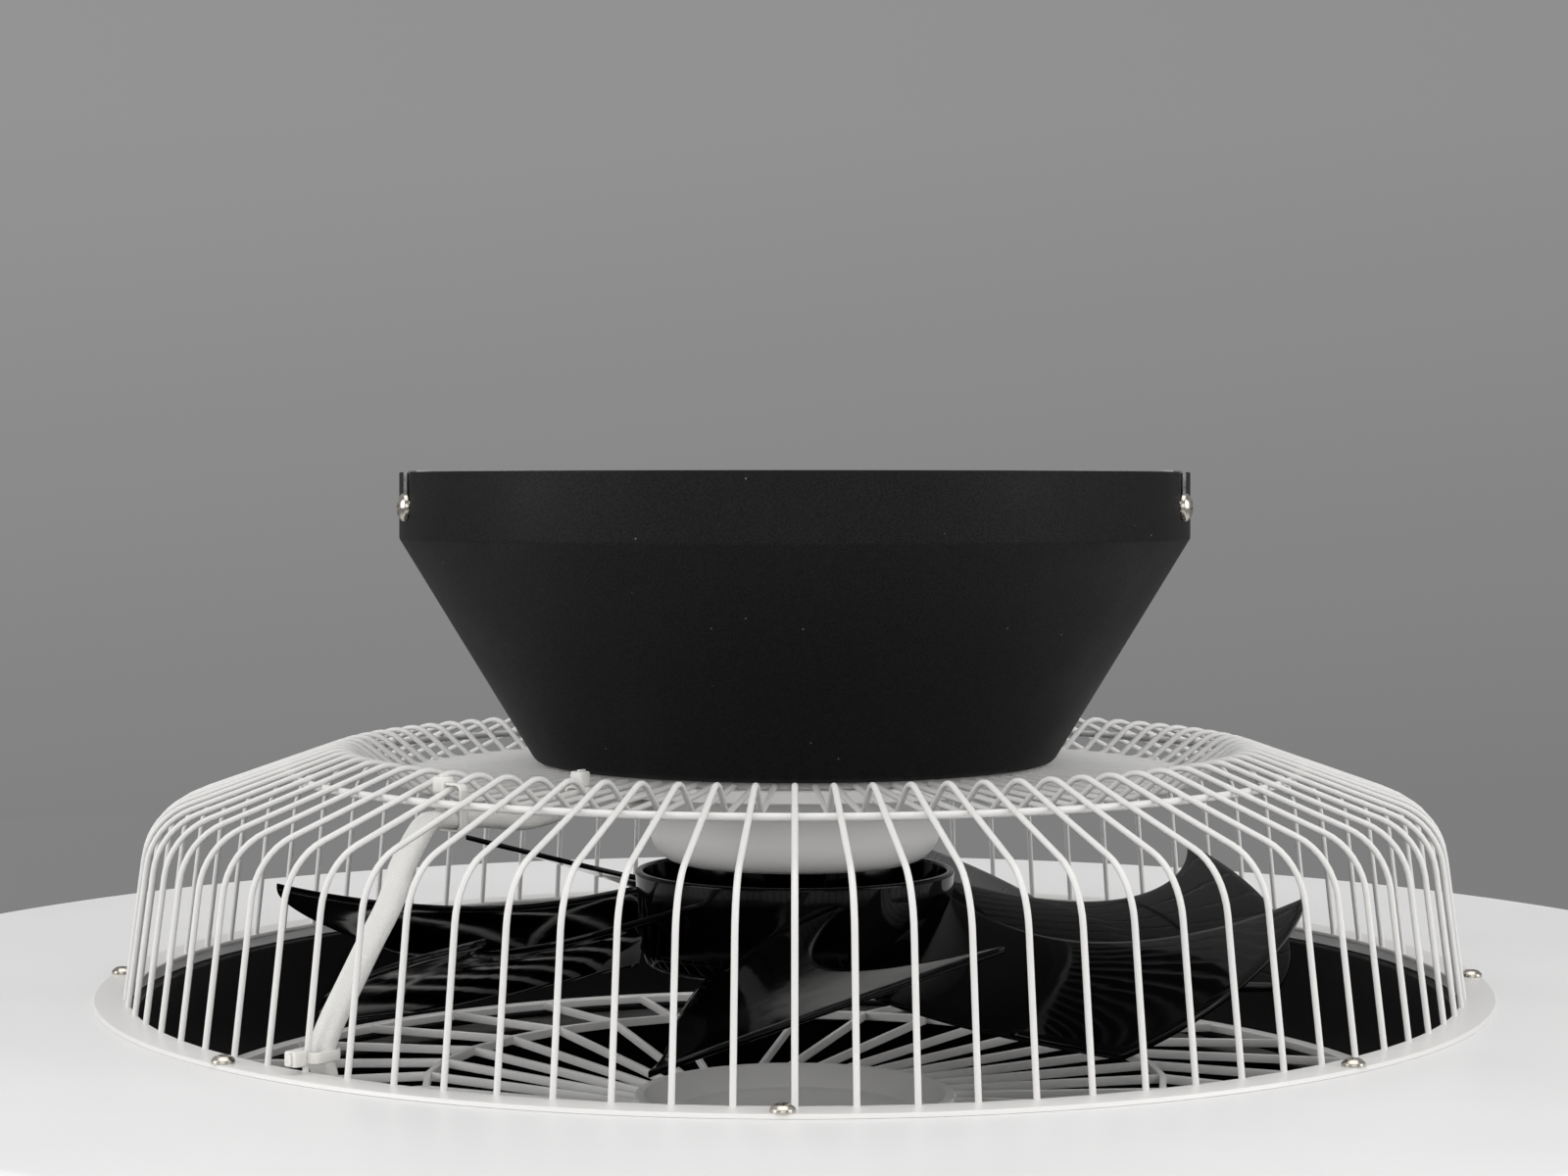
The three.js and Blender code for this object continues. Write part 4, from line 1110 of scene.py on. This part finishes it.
    def build(self) -> None:
        """Builds the whole sub-assembly."""
        self.bowl()
        self.plate()
        self.bracket()
        self.screws()
        self.case("led_driver", "driver_case", CASE_PC)
        self.case("fan_controller", "controller_case", DUCT_ABS)
        self.terminals()


@dataclass
class WireCage:
    """Cage of bent ribs welded to one hoop, a flat foot flange and the plate."""

    hoop_d: float = 2.8
    hoop_r: float = 191.0
    weld: float = 0.35  # how far the hoop sinks into the ribs
    line: tuple[Corner, ...] = (
        (96.1, 82.6, 0.0), (152.5, 78.5, 5.0), (170.0, 91.7, 12.0), (241.5, 66.8, 24.0), (250.0, 0.4, 0.0))
    flange_in: float = 248.8
    flange_out: float = 262.0
    flange_z: float = 0.05
    flange_t: float = 1.5
    screw_r: float = 258.0
    screw_count: int = 8
    screw_turn: float = -0.8

    def wires(self) -> None:
        """Sweeps one rib, repeats it round the cage and adds the hoop under the slope."""
        line = [Vector((0.0, -r, z + DECK)) for r, z in soften(self.line, closed=False, step=9.0)]
        bm = sweep(line, Vector((1, 0, 0)), oval(RIB_D, RIB_D, 10))
        round_copies(bm, RIBS)
        publish(bm, "cage_ribs", WIRE_ENAMEL, [f"cage_sector_{i}" for i in (1, 2, 3, 4)], crease=70)
        crest, shoulder = self.line[2], self.line[3]
        slope = (crest[1] - shoulder[1]) / (shoulder[0] - crest[0])
        z = shoulder[1] + slope * (shoulder[0] - self.hoop_r) - RIB_D / 2 * math.hypot(1, slope)
        z += self.weld - self.hoop_d / 2
        ring = [(self.hoop_r + a, z + b) for a, b in oval(self.hoop_d, self.hoop_d, 14)]
        publish(revolve(ring, 252), "cage_hoop", WIRE_ENAMEL, crease=70)

    def flange(self) -> None:
        """Spins the flat ring under the rib feet and sets its screws."""
        outline = soften([
            (self.flange_in, self.flange_z, 0.2), (self.flange_out, self.flange_z, 0.2),
            (self.flange_out - 0.8, self.flange_t, 0.5), (self.flange_in, self.flange_t, 0.5)])
        publish(revolve(outline, 252), "foot_flange", WIRE_ENAMEL, ["cage_flange"])
        angles = [self.screw_turn + 360 / self.screw_count * i for i in range(self.screw_count)]
        screw = PanScrew(head=4.0, dome=2.6, shank=7.5, shank_r=2.0)
        places = round_places(angles, self.screw_r, self.flange_t)
        set_screws(screw, "foot_screw", "flange_screw", NICKEL, places)

    def build(self) -> None:
        """Builds the whole sub-assembly."""
        self.wires()
        self.flange()


@dataclass
class LightBody:
    """Round steel pan with an opal underside, and the black duct and grille through its middle."""

    outer_r: float = 400.0
    mouth_r: float = 250.0
    pan_depth: float = 42.0
    pan_t: float = 1.5
    pan_bend: float = 7.0
    lip: float = 4.0
    depth: float = 58.0
    opal_t: float = 2.2
    opal_bend: float = 10.0
    duct_r: float = 246.0
    duct_top: float = -4.3
    duct_h: float = 45.0
    duct_taper: float = 6.0
    duct_t: float = 2.5
    duct_flange: float = 17.0
    ledge: float = 8.0
    ledge_t: float = 2.2
    grille_z: float = -46.8
    grille_h: float = 3.4
    grille_gap: float = 1.2  # between its edge and the duct's wall
    edge_w: float = 6.0
    spokes: int = 32
    spoke_w: float = 1.9
    skew: float = 25.0  # radius of the circle that the spokes' lines touch
    dish_r: float = 61.7
    dish_floor_r: float = 46.0
    dish_depth: float = 7.0
    dish_t: float = 2.0
    ring_r: float = 140.4
    ring_w: float = 2.6
    ring_rise: float = 7.4

    def duct_radius(self, z: float) -> float:
        """Inner radius of the duct at a height."""
        return self.duct_r - self.duct_taper * (self.duct_top - z) / self.duct_h

    def along_spoke(self, radius: float) -> float:
        """How far out along a skewed spoke a radius is met."""
        return math.sqrt(radius ** 2 - self.skew ** 2)

    def pan(self) -> None:
        """Spins the pan: flat top, rounded edge, turned-down lip round the opening."""
        r, mouth, t, e = self.outer_r, self.mouth_r, self.pan_t, self.pan_bend
        outline = soften([
            (mouth, -self.lip, 0.3), (mouth, 0.0, 0.9), (r, 0.0, e), (r, -self.pan_depth, 0.4),
            (r - t, -self.pan_depth, 0.4), (r - t, -t, e - t), (mouth + t, -t, 0.4),
            (mouth + t, -self.lip, 0.3)])
        publish(revolve(outline, 288), "light_body_pan", PAN_ENAMEL, ["light_pan"])

    def diffuser(self) -> None:
        """Spins the opal ring under the pan."""
        outer, t, e = self.outer_r - 2.0, self.opal_t, self.opal_bend
        bottom = self.duct_top - self.duct_h
        inner = self.duct_radius(bottom) + 4.3
        lap, collar, under = 4.0 - self.pan_depth, bottom + 4, -self.depth
        outline = soften([
            (outer, lap, 0.4), (outer, under, e), (inner, under, e * 0.6), (inner, collar, 0.4),
            (inner + t, collar, 0.4), (inner + t, under + t, e * 0.6 - t), (outer - t, under + t, e - t),
            (outer - t, lap, 0.4)])
        publish(revolve(outline, 288), "opal_diffuser", OPAL, ["diffuser"])

    def duct(self) -> None:
        """Spins the duct: flat flange, tapered wall, inward ledge for the grille."""
        r, t, top, bottom = self.duct_r, self.duct_t, self.duct_top, self.duct_top - self.duct_h
        foot, rim, ledge = self.duct_radius(bottom), r + self.duct_flange, bottom + self.ledge_t
        outline = soften([
            (r, top, 0.8), (rim, top, 0.4), (rim, top - t, 0.4), (r + t, top - t, 0.8),
            (foot + t, bottom, 1.0), (foot - self.ledge, bottom, 0.5), (foot - self.ledge, ledge, 0.5),
            (foot, ledge, 0.6)])
        publish(revolve(outline, 216), "air_duct", DUCT_ABS, ["duct_ring"])

    def spoke_wheel(self, outer: float) -> Shape:
        """Builds the skewed spokes, which peak where the many-sided ring crosses them.

        Args:
            outer: Radius of the grille's edge.

        Returns:
            All the spokes.
        """
        start, end = self.along_spoke(self.dish_r - 2), self.along_spoke(outer - 3)
        peak = self.along_spoke(self.ring_r) * MM
        bm = bmesh.new()
        bmesh.ops.create_cube(bm, size=1.0)
        bmesh.ops.scale(bm, vec=((end - start) * MM, self.spoke_w * MM, self.grille_h * MM), verts=bm.verts)
        shift(bm, (start + end) / 2, self.skew, self.grille_z + self.grille_h / 2 + DECK)
        bmesh.ops.bisect_plane(bm, geom=bm.verts[:] + bm.edges[:] + bm.faces[:], dist=1e-7,
                               plane_co=(peak, 0, 0), plane_no=(1, 0, 0))
        for vert in bm.verts:
            if abs(vert.co.x - peak) < 1e-5:
                vert.co.z += self.ring_rise * MM
        long_edges = [e for e in bm.edges if abs(e.verts[0].co.y - e.verts[1].co.y) < 1e-7
                      and abs(e.verts[0].co.x - e.verts[1].co.x) > 5 * MM]
        round_edges(bm, long_edges, 0.45)
        round_copies(bm, self.spokes)
        return bm

    def grille(self) -> None:
        """Builds the grille: outer ring, skewed spokes and dished middle."""
        z, top, r = self.grille_z, self.grille_z + self.grille_h, self.dish_r
        outer = self.duct_radius(z) - self.grille_gap
        inner = outer - self.edge_w
        bm = revolve(soften([(inner, z, 0.5), (outer, z, 0.5), (outer, top, 0.5), (inner, top, 0.5)]), 192)
        add_shape(bm, self.spoke_wheel(outer))
        t, floor, floor_r = self.dish_t, top - self.dish_depth, self.dish_floor_r
        dish = soften([
            (0.0, floor - t, 0.0), (floor_r - t, floor - t, 2.0), (59.0, z + 0.6, 0.6), (r, z, 0.8),
            (r, top, 1.3), (57.6, top, 1.2), (55.0, top - 1.6, 0.5), (floor_r, floor, 1.6),
            (0.0, floor, 0.0)], closed=False)
        add_shape(bm, revolve(dish, 128, closed=False))
        publish(bm, "outlet_grille", GRILLE_ABS, ["bottom_grille"])

    def peak_ring(self) -> None:
        """Builds the many-sided ring over the spokes' peaks, one side for each spoke."""
        low, high = self.grille_z + self.ring_rise, self.grille_z + self.grille_h + self.ring_rise
        inner, outer = self.ring_r - self.ring_w / 2, self.ring_r + self.ring_w / 2
        ring = revolve([(inner, low), (outer, low), (outer, high), (inner, high)], self.spokes)
        turn(ring, math.degrees(math.asin(self.skew / self.ring_r)))
        round_edges(ring, keen_edges(ring, 60), 0.4)
        publish(ring, "grille_ring", GRILLE_ABS, crease=8)

    def build(self) -> None:
        """Builds the whole sub-assembly; the light boards and the lead's plug are sealed in."""
        self.pan()
        self.diffuser()
        self.duct()
        self.grille()
        self.peak_ring()
        dress(BOARD, *[f"led_board_{i}" for i in (1, 2, 3, 4)])
        dress(CASE_PC, "light_plug")


@dataclass
class Motor:
    """Outer-rotor motor in a white cup under the plate."""

    cup_r: float = 55.5
    cup_top: float = 81.7
    cup_foot: float = 45.3
    wall: float = 1.8
    corner: float = 13.0
    mouth: float = 15.0

    def cup(self) -> None:
        """Spins the painted housing cup."""
        r, top, z, t, e = self.cup_r, self.cup_top, self.cup_foot, self.wall, self.corner
        outline = soften([
            (r, top, 0.3), (r, z, e), (self.mouth, z, 0.5), (self.mouth, z + t, 0.4), (r - t, z + t, e - t),
            (r - t, top, 0.3)], step=6.0)
        publish(revolve(outline, 128), "motor_cup", PART_ENAMEL, ["motor_housing"])

    def works(self) -> None:
        """Dresses the pieces inside the housing, which keep their CAD shape."""
        dress(ZINC, "bearing_tube", "impeller_nut")
        dress(STEEL, "lower_bearing", "upper_bearing", "rotor_can", "motor_shaft", "shaft_clip")
        dress(LAMINATION, "stator_core")
        dress(COPPER, "upper_windings", "lower_windings")
        dress(FERRITE, "magnet_ring")

    def build(self) -> None:
        """Builds the whole sub-assembly."""
        self.cup()
        self.works()


@dataclass(frozen=True)
class Edge:
    """How an angle or a height runs along a blade's edge, with a hump between its ends."""

    hub: float
    tip: float
    hump: float
    power: float = 1.0  # below one, the hump is nearer the hub

    def at(self, u: float) -> float:
        """Value part of the way along the edge.

        Args:
            u: From hub to tip.

        Returns:
            The angle or the height there.
        """
        p = self.power
        shape = u ** p * (1 - u) / ((p / (p + 1)) ** p / (p + 1))
        return between(self.hub, self.tip, u) + self.hump * shape


@dataclass
class Impeller:
    """Seven glossy swept blades round an open hub, moulded in one."""

    blades: int = 7
    hub_r: float = 61.0
    hub_top: float = 42.3
    hub_z: float = 6.3
    hub_t: float = 3.0
    tip_r: float = 197.0
    blade_t: float = 2.3
    camber: float = 2.6
    lead_turn: Edge = Edge(18.8, 20.3, -16.3, 0.68)
    trail_turn: Edge = Edge(-33.0, -15.0, 3.8)
    lead_rise: Edge = Edge(30.0, 33.6, -13.0, 1.1)
    trail_rise: Edge = Edge(2.0, -8.0, -3.0)
    bore: float = 4.25
    boss_r: float = 12.0
    boss_top: float = 46.5
    webs: int = 6
    web_t: float = 1.8
    web_h: float = 18.0
    lead_fall: float = 1.5  # how far the tip falls back at its leading corner
    trail_fall: float = 13.0  # and at its trailing one

    def surface(self, u: float, v: float) -> Vector:
        """Point of the front blade's middle surface.

        Args:
            u: From hub to tip.
            v: From trailing to leading edge.

        Returns:
            The point, in millimetres of the model's frame.
        """
        tip = self.tip_r - self.lead_fall * v ** 4 - self.trail_fall * (1 - v) ** 5
        height = self.hub_z + between(self.trail_rise.at(u), self.lead_rise.at(u), v)
        height += self.camber * 4 * v * (1 - v)
        angle = between(self.trail_turn.at(u), self.lead_turn.at(u), v)
        return spot(between(self.hub_r - self.hub_t / 2, tip, u), angle, height)

    def blade(self, along: int = 36, across: int = 24) -> Shape:
        """Bends a flat grid into the blade and gives it its thickness.

        Args:
            along: Faces from hub to tip.
            across: Faces from edge to edge.

        Returns:
            The front blade.
        """
        bm = bmesh.new()
        bmesh.ops.create_grid(bm, x_segments=along, y_segments=across, size=0.5)
        for vert in bm.verts:
            vert.co = self.surface(vert.co.x + 0.5, vert.co.y + 0.5) * MM
        bmesh.ops.solidify(bm, geom=bm.faces[:], thickness=self.blade_t * MM)
        round_edges(bm, keen_edges(bm, 50), 0.4)
        bmesh.ops.recalc_face_normals(bm, faces=bm.faces)
        return bm

    def hub(self) -> Shape:
        """Spins the open hub with its boss, and sets its stiffening webs.

        Returns:
            The hub.
        """
        r, t, z, boss = self.hub_r, self.hub_t, self.hub_z, self.boss_r
        bm = revolve(soften([
            (self.bore, z, 0.4), (r - 4.5, z, 3.5), (r - 2.0, z + 6, 8.0), (r, self.hub_top, 1.2),
            (r - t, self.hub_top, 1.0), (r - t - 2, z + 8, 4.0), (r - 8, z + t, 2.0), (boss, z + t, 1.5),
            (boss, self.boss_top, 0.4), (self.bore, self.boss_top, 0.3)]), 140)
        length = r - t - 2 - boss
        middle = (0, -(boss + length / 2), z + 2 + self.web_h / 2)
        web = brick((self.web_t, length, self.web_h), middle, 0.5)
        turn(web, 180 / self.webs)
        round_copies(web, self.webs)
        add_shape(bm, web)
        return bm

    def build(self) -> None:
        """Builds the impeller as one moulding."""
        bm = self.hub()
        blade = self.blade()
        round_copies(blade, self.blades)
        add_shape(bm, blade)
        publish(bm, "bladed_rotor", BLADE_ABS, ["impeller"], Carrier.ROTOR, crease=40)


@dataclass(frozen=True)
class Tie:
    """Where a cable tie holds the lead to a rib."""

    radius: float
    z: float
    gap: float  # from the lead's middle to the rib's
    tilt: float = 0.0
    beside: bool = False  # the head sits beside the rib, not outside it


@dataclass
class Lead:
    """Braided lead from the bowl down inside the cage to the light body, with its ties and grommets."""

    angle: float = -360 / RIBS * 9
    width: float = 10.0
    height: float = 6.0
    bow: float = 6.5  # how far it leans aside between its second and third tie
    bow_ends: Point = (71.0, 11.0)  # heights where that lean begins and ends
    bow_from: float = 190.0  # radius past which it may lean
    start: tuple[Corner, ...] = (
        (-35.3, -57.0, 101.0), (-42.0, -57.0, 101.0), (-48.5, -61.0, 99.5), (-51.8, -65.0, 95.5))
    line: tuple[Point, ...] = (
        (84, 90), (84, 80.5), (85.6, 75.6), (90, 72.9), (97, 72.6), (108, 74.6), (119, 76.2), (126, 75.8),
        (140, 73.8), (152, 73), (164, 74.6), (176, 76), (186, 76.5), (191, 76.8), (197, 75.4),
        (210.5, 64.5), (219, 52.5), (227.5, 40.7), (234, 28.8), (239.5, 17), (242.7, 8.6), (242.9, 4.4),
        (241.4, -2), (239.8, -9), (240.4, -14.6), (243.6, -17.6), (250, -18), (258, -18))
    ties: tuple[Tie, ...] = (
        Tie(121.0, 76.1, 4.7), Tie(184.4, 76.4, 10.3, beside=True), Tie(242.8, 6.4, 6.6, tilt=90.0))
    exit_z: float = -18.0  # height where it leaves through the duct's wall
    strap: Point = (3.6, 0.9)
    head: Corner = (5.4, 5.0, 5.4)
    slit: Corner = (1.4, 3.9, 9.0)
    tail: Corner = (1.0, 3.5, 4.6)

    def sleeve(self) -> None:
        """Sweeps the flattened sleeve along its route."""
        points = [Vector((x, y, z + DECK)) for x, y, z in self.start]
        side = spot(1, self.angle + 90, -DECK)
        high, low = self.bow_ends
        for r, z in self.line:
            part = min(max((high - z) / (high - low), 0.0), 1.0) if r > self.bow_from else 0.0
            points.append(spot(r, self.angle, z) + side * (self.bow * math.sin(math.pi * part ** 0.7)))
        bm = sweep(smooth_line(points, 2.0), side, oval(self.width, self.height, 28, 2.6))
        publish(bm, "braided_lead", SLEEVE, ["lead_sleeve"], crease=60)

    def tie(self, number: int, spec: Tie) -> None:
        """Builds one tie: strap round rib and lead, square head, trimmed tail.

        Args:
            number: Its number, from the bowl down.
            spec: Where it sits.
        """
        w, h = self.width + 1.0, spec.gap + RIB_D / 2 + self.height / 2 + 1.0
        lift = (RIB_D / 2 - self.height / 2 + spec.gap) / 2
        loop = soften([(a * w / 2, b * h / 2, 2.2) for a, b in ((-1, -1), (1, -1), (1, 1), (-1, 1))])
        line = [Vector((x, 0.0, y + lift)) for x, y in loop]
        bm = sweep(line, Vector((0, 1, 0)), oval(*self.strap, 12, 5.0), closed=True)
        x, z = (-4.15, spec.gap + 1.3) if spec.beside else (0.0, lift + h / 2 + 3.0)
        head = brick(self.head, (x, 0.0, z - DECK), 0.7)
        add_shape(bm, carve(head, brick(self.slit, (x + 0.6, 0.0, z - DECK))))
        add_shape(bm, brick(self.tail, (x + 0.6, 0.0, z + 1.0 - DECK), 0.2))
        place = Matrix.Translation(spot(spec.radius, self.angle, spec.z) * MM)
        put_at(bm, place @ rotation(self.angle) @ rotation(spec.tilt, "X"))
        publish(bm, f"lead_tie_{number}", NYLON, [f"cable_tie_{number}"])

    def grommet(self, node: str, name: str, neck: float, place: Matrix) -> None:
        """Spins a rubber grommet that the lead passes through.

        Args:
            node: The CAD node that it stands for.
            name: The piece's name.
            neck: Height of its neck.
            place: Where it stands.
        """
        r = self.width / 2 + 0.3
        outline = soften([(r, 0.0, 0.2), (r + 1.2, 0.0, 0.4), (r + 1.2, neck, 0.3), (r + 2.8, neck, 0.5),
                          (r + 2.8, neck + 1.4, 0.6), (r, neck + 1.4, 0.6)])
        bm = revolve([(a, b - DECK) for a, b in outline], 40)
        put_at(bm, place)
        publish(bm, name, RUBBER, [node])

    def build(self) -> None:
        """Builds the whole sub-assembly."""
        self.sleeve()
        for i, spec in enumerate(self.ties):
            self.tie(i + 1, spec)
        wall_r = LightBody().duct_radius(self.exit_z) - 0.6
        floor = round_places([self.angle], self.line[0][0], Canopy().plate_land)
        wall = round_places([self.angle], wall_r, self.exit_z, outward=True)
        self.grommet("upper_grommet", "canopy_grommet", 3.9, floor[0])
        self.grommet("lower_grommet", "duct_grommet", 4.3, wall[0])


# ---------------------------------------------------------------- studio


@dataclass(frozen=True)
class Lamp:
    """A soft box, placed and sized in metres."""

    name: str
    place: Corner
    size: Point
    watts: float

    def hang(self, aim: Corner) -> None:
        """Hangs it, turned towards a point.

        Args:
            aim: The point.
        """
        data = bpy.data.lights.new(self.name, "AREA")
        data.shape, data.energy = "RECTANGLE", self.watts
        data.size, data.size_y = self.size
        made = new_object(self.name, data)
        made.location = self.place
        made.rotation_euler = (Vector(aim) - Vector(self.place)).to_track_quat("-Z", "Y").to_euler()


@dataclass
class Studio:
    """Pale floor that fades into a plain grey background, soft lamps and the camera; in metres."""

    distance: float = 1.168
    eye_z: float = -0.0075
    lens: float = 70.13
    sensor: float = 36.0
    shift: Point = (-11 / 1600, -99 / 1600)
    clip: Point = (0.05, 30.0)
    floor_z: float = -0.2522
    floor_r: float = 1.25
    pale_r: float = 0.5
    fade_r: float = 0.74
    # painted shadow: under the duct's opening the floor is coloured near black, fading to the paper between
    # these two radii
    painted_shadow_r: Point = (0.245, 0.26)
    paper: str = "b4b4b3"
    # painted shadow: the near-black colour laid on the floor under the fan's opening
    painted_shadow: str = "040404"
    faded: str = "808080"
    sky: tuple[str, str] = ("7c7c7c", "929292")  # low and high behind the fan
    side_light: Point = (1.03, 0.95)  # the background is brighter on the left
    aim: Corner = (0, 0, -0.15)
    lamps: tuple[Lamp, ...] = (
        Lamp("overhead_box", (0.0, -0.2, 2.2), (2.6, 2.2), 27.0),
        Lamp("left_box", (-2.4, -0.9, 0.8), (1.2, 1.8), 22.0),
        Lamp("right_box", (2.4, -0.9, 0.8), (1.2, 1.8), 21.0),
        Lamp("front_box", (0.0, -2.8, 0.7), (2.2, 1.2), 12.0))

    def camera(self) -> None:
        """Sets the camera level with the canopy's rim, straight in front."""
        data = bpy.data.cameras.new("camera")
        data.lens, data.sensor_width = self.lens, self.sensor
        data.shift_x, data.shift_y = self.shift
        data.clip_start, data.clip_end = self.clip
        made = new_object("camera", data)
        made.location = (0.0, -self.distance, self.eye_z)
        made.rotation_euler = (math.radians(90), 0.0, 0.0)
        bpy.context.scene.camera = made

    def floor(self) -> None:
        """Lays the floor: pale round the fan, a painted shadow under its opening, the background's grey
        further out.
        """
        bm = bmesh.new()
        bmesh.ops.create_circle(bm, cap_ends=True, cap_tris=True, segments=96, radius=self.floor_r)
        bmesh.ops.translate(bm, verts=bm.verts, vec=(0, 0, self.floor_z))
        made = new_object("floor", to_mesh(bm, "floor"))
        paper, skin = new_skin("studio_paper")
        flat = skin.add("ShaderNodeVectorMath", {0: skin.where(), 1: (1.0, 1.0, 0.0)}, operation="MULTIPLY")
        away = skin.add("ShaderNodeVectorMath", {0: flat.outputs[0]}, operation="LENGTH").outputs["Value"]
        # painted shadow: the floor's colour is near black inside the duct's opening and pale outside it
        paper_and_painted_shadow = skin.mix(skin.ramp(away, self.painted_shadow_r, (0.0, 1.0)), linear(self.painted_shadow), linear(self.paper))
        skin.put({"Base Color": paper_and_painted_shadow, "Roughness": 0.9, "Specular IOR Level": 0.0})
        fade = skin.ramp(away, (self.pale_r, self.fade_r), (0.0, 1.0), interpolation_type="SMOOTHSTEP")
        side = skin.ramp(skin.split(skin.where())["X"], (-0.6, 0.6), self.side_light)
        glow = skin.add("ShaderNodeEmission", {"Color": linear(self.faded), "Strength": side})
        both = skin.add("ShaderNodeMixShader", {0: fade, 1: skin.shader.outputs[0], 2: glow.outputs[0]})
        skin.feed(skin.tree.nodes["Material Output"], "Surface", both.outputs[0])
        made.data.materials.append(paper)

    def world(self) -> None:
        """Lights the fan from all round, and shows the camera a plain grey."""
        world = bpy.data.worlds.new("studio")
        bpy.context.scene.world = world
        world.use_nodes = True
        world.node_tree.nodes.clear()
        air = Nodes(world.node_tree)
        way = air.split(air.where("Generated"))
        low, high = (linear(code) for code in self.sky)
        grey = air.mix(air.ramp(way["Z"], (-0.14, 0.12), (0.0, 1.0)), low, high)
        side = air.ramp(way["X"], (-0.26, 0.26), self.side_light)
        seen = air.add("ShaderNodeBackground", {
            "Color": air.mix(1.0, grey, side, blend_type="MULTIPLY"), "Strength": 1.0})
        light = air.add("ShaderNodeBackground", {
            "Color": linear("ffffff"), "Strength": air.ramp(way["Z"], (0.1, 0.75), (1.12, 0.35))})
        ray = air.add("ShaderNodeLightPath").outputs
        glossy = air.reckon("MAXIMUM", ray["Is Camera Ray"], ray["Is Glossy Ray"])
        shown = air.reckon("MAXIMUM", glossy, ray["Is Transmission Ray"])
        both = air.add("ShaderNodeMixShader", {0: shown, 1: light.outputs[0], 2: seen.outputs[0]})
        air.add("ShaderNodeOutputWorld", {"Surface": both.outputs[0]})

    def build(self) -> None:
        """Sets up camera, floor, background and lamps."""
        self.camera()
        self.floor()
        self.world()
        for lamp in self.lamps:
            lamp.hang(self.aim)
        bpy.context.scene.view_settings.view_transform = "Standard"


def main() -> None:
    """Builds the studio and the fan, sub-assembly by sub-assembly."""
    logging.basicConfig(level=logging.INFO, format="%(message)s")
    assemblies = (Studio(), LightBody(), WireCage(), Canopy(), Motor(), Impeller(), Lead())
    for each in assemblies:
        LOG.info("building %s", type(each).__name__)
        each.build()


if __name__ == "__main__":
    main()
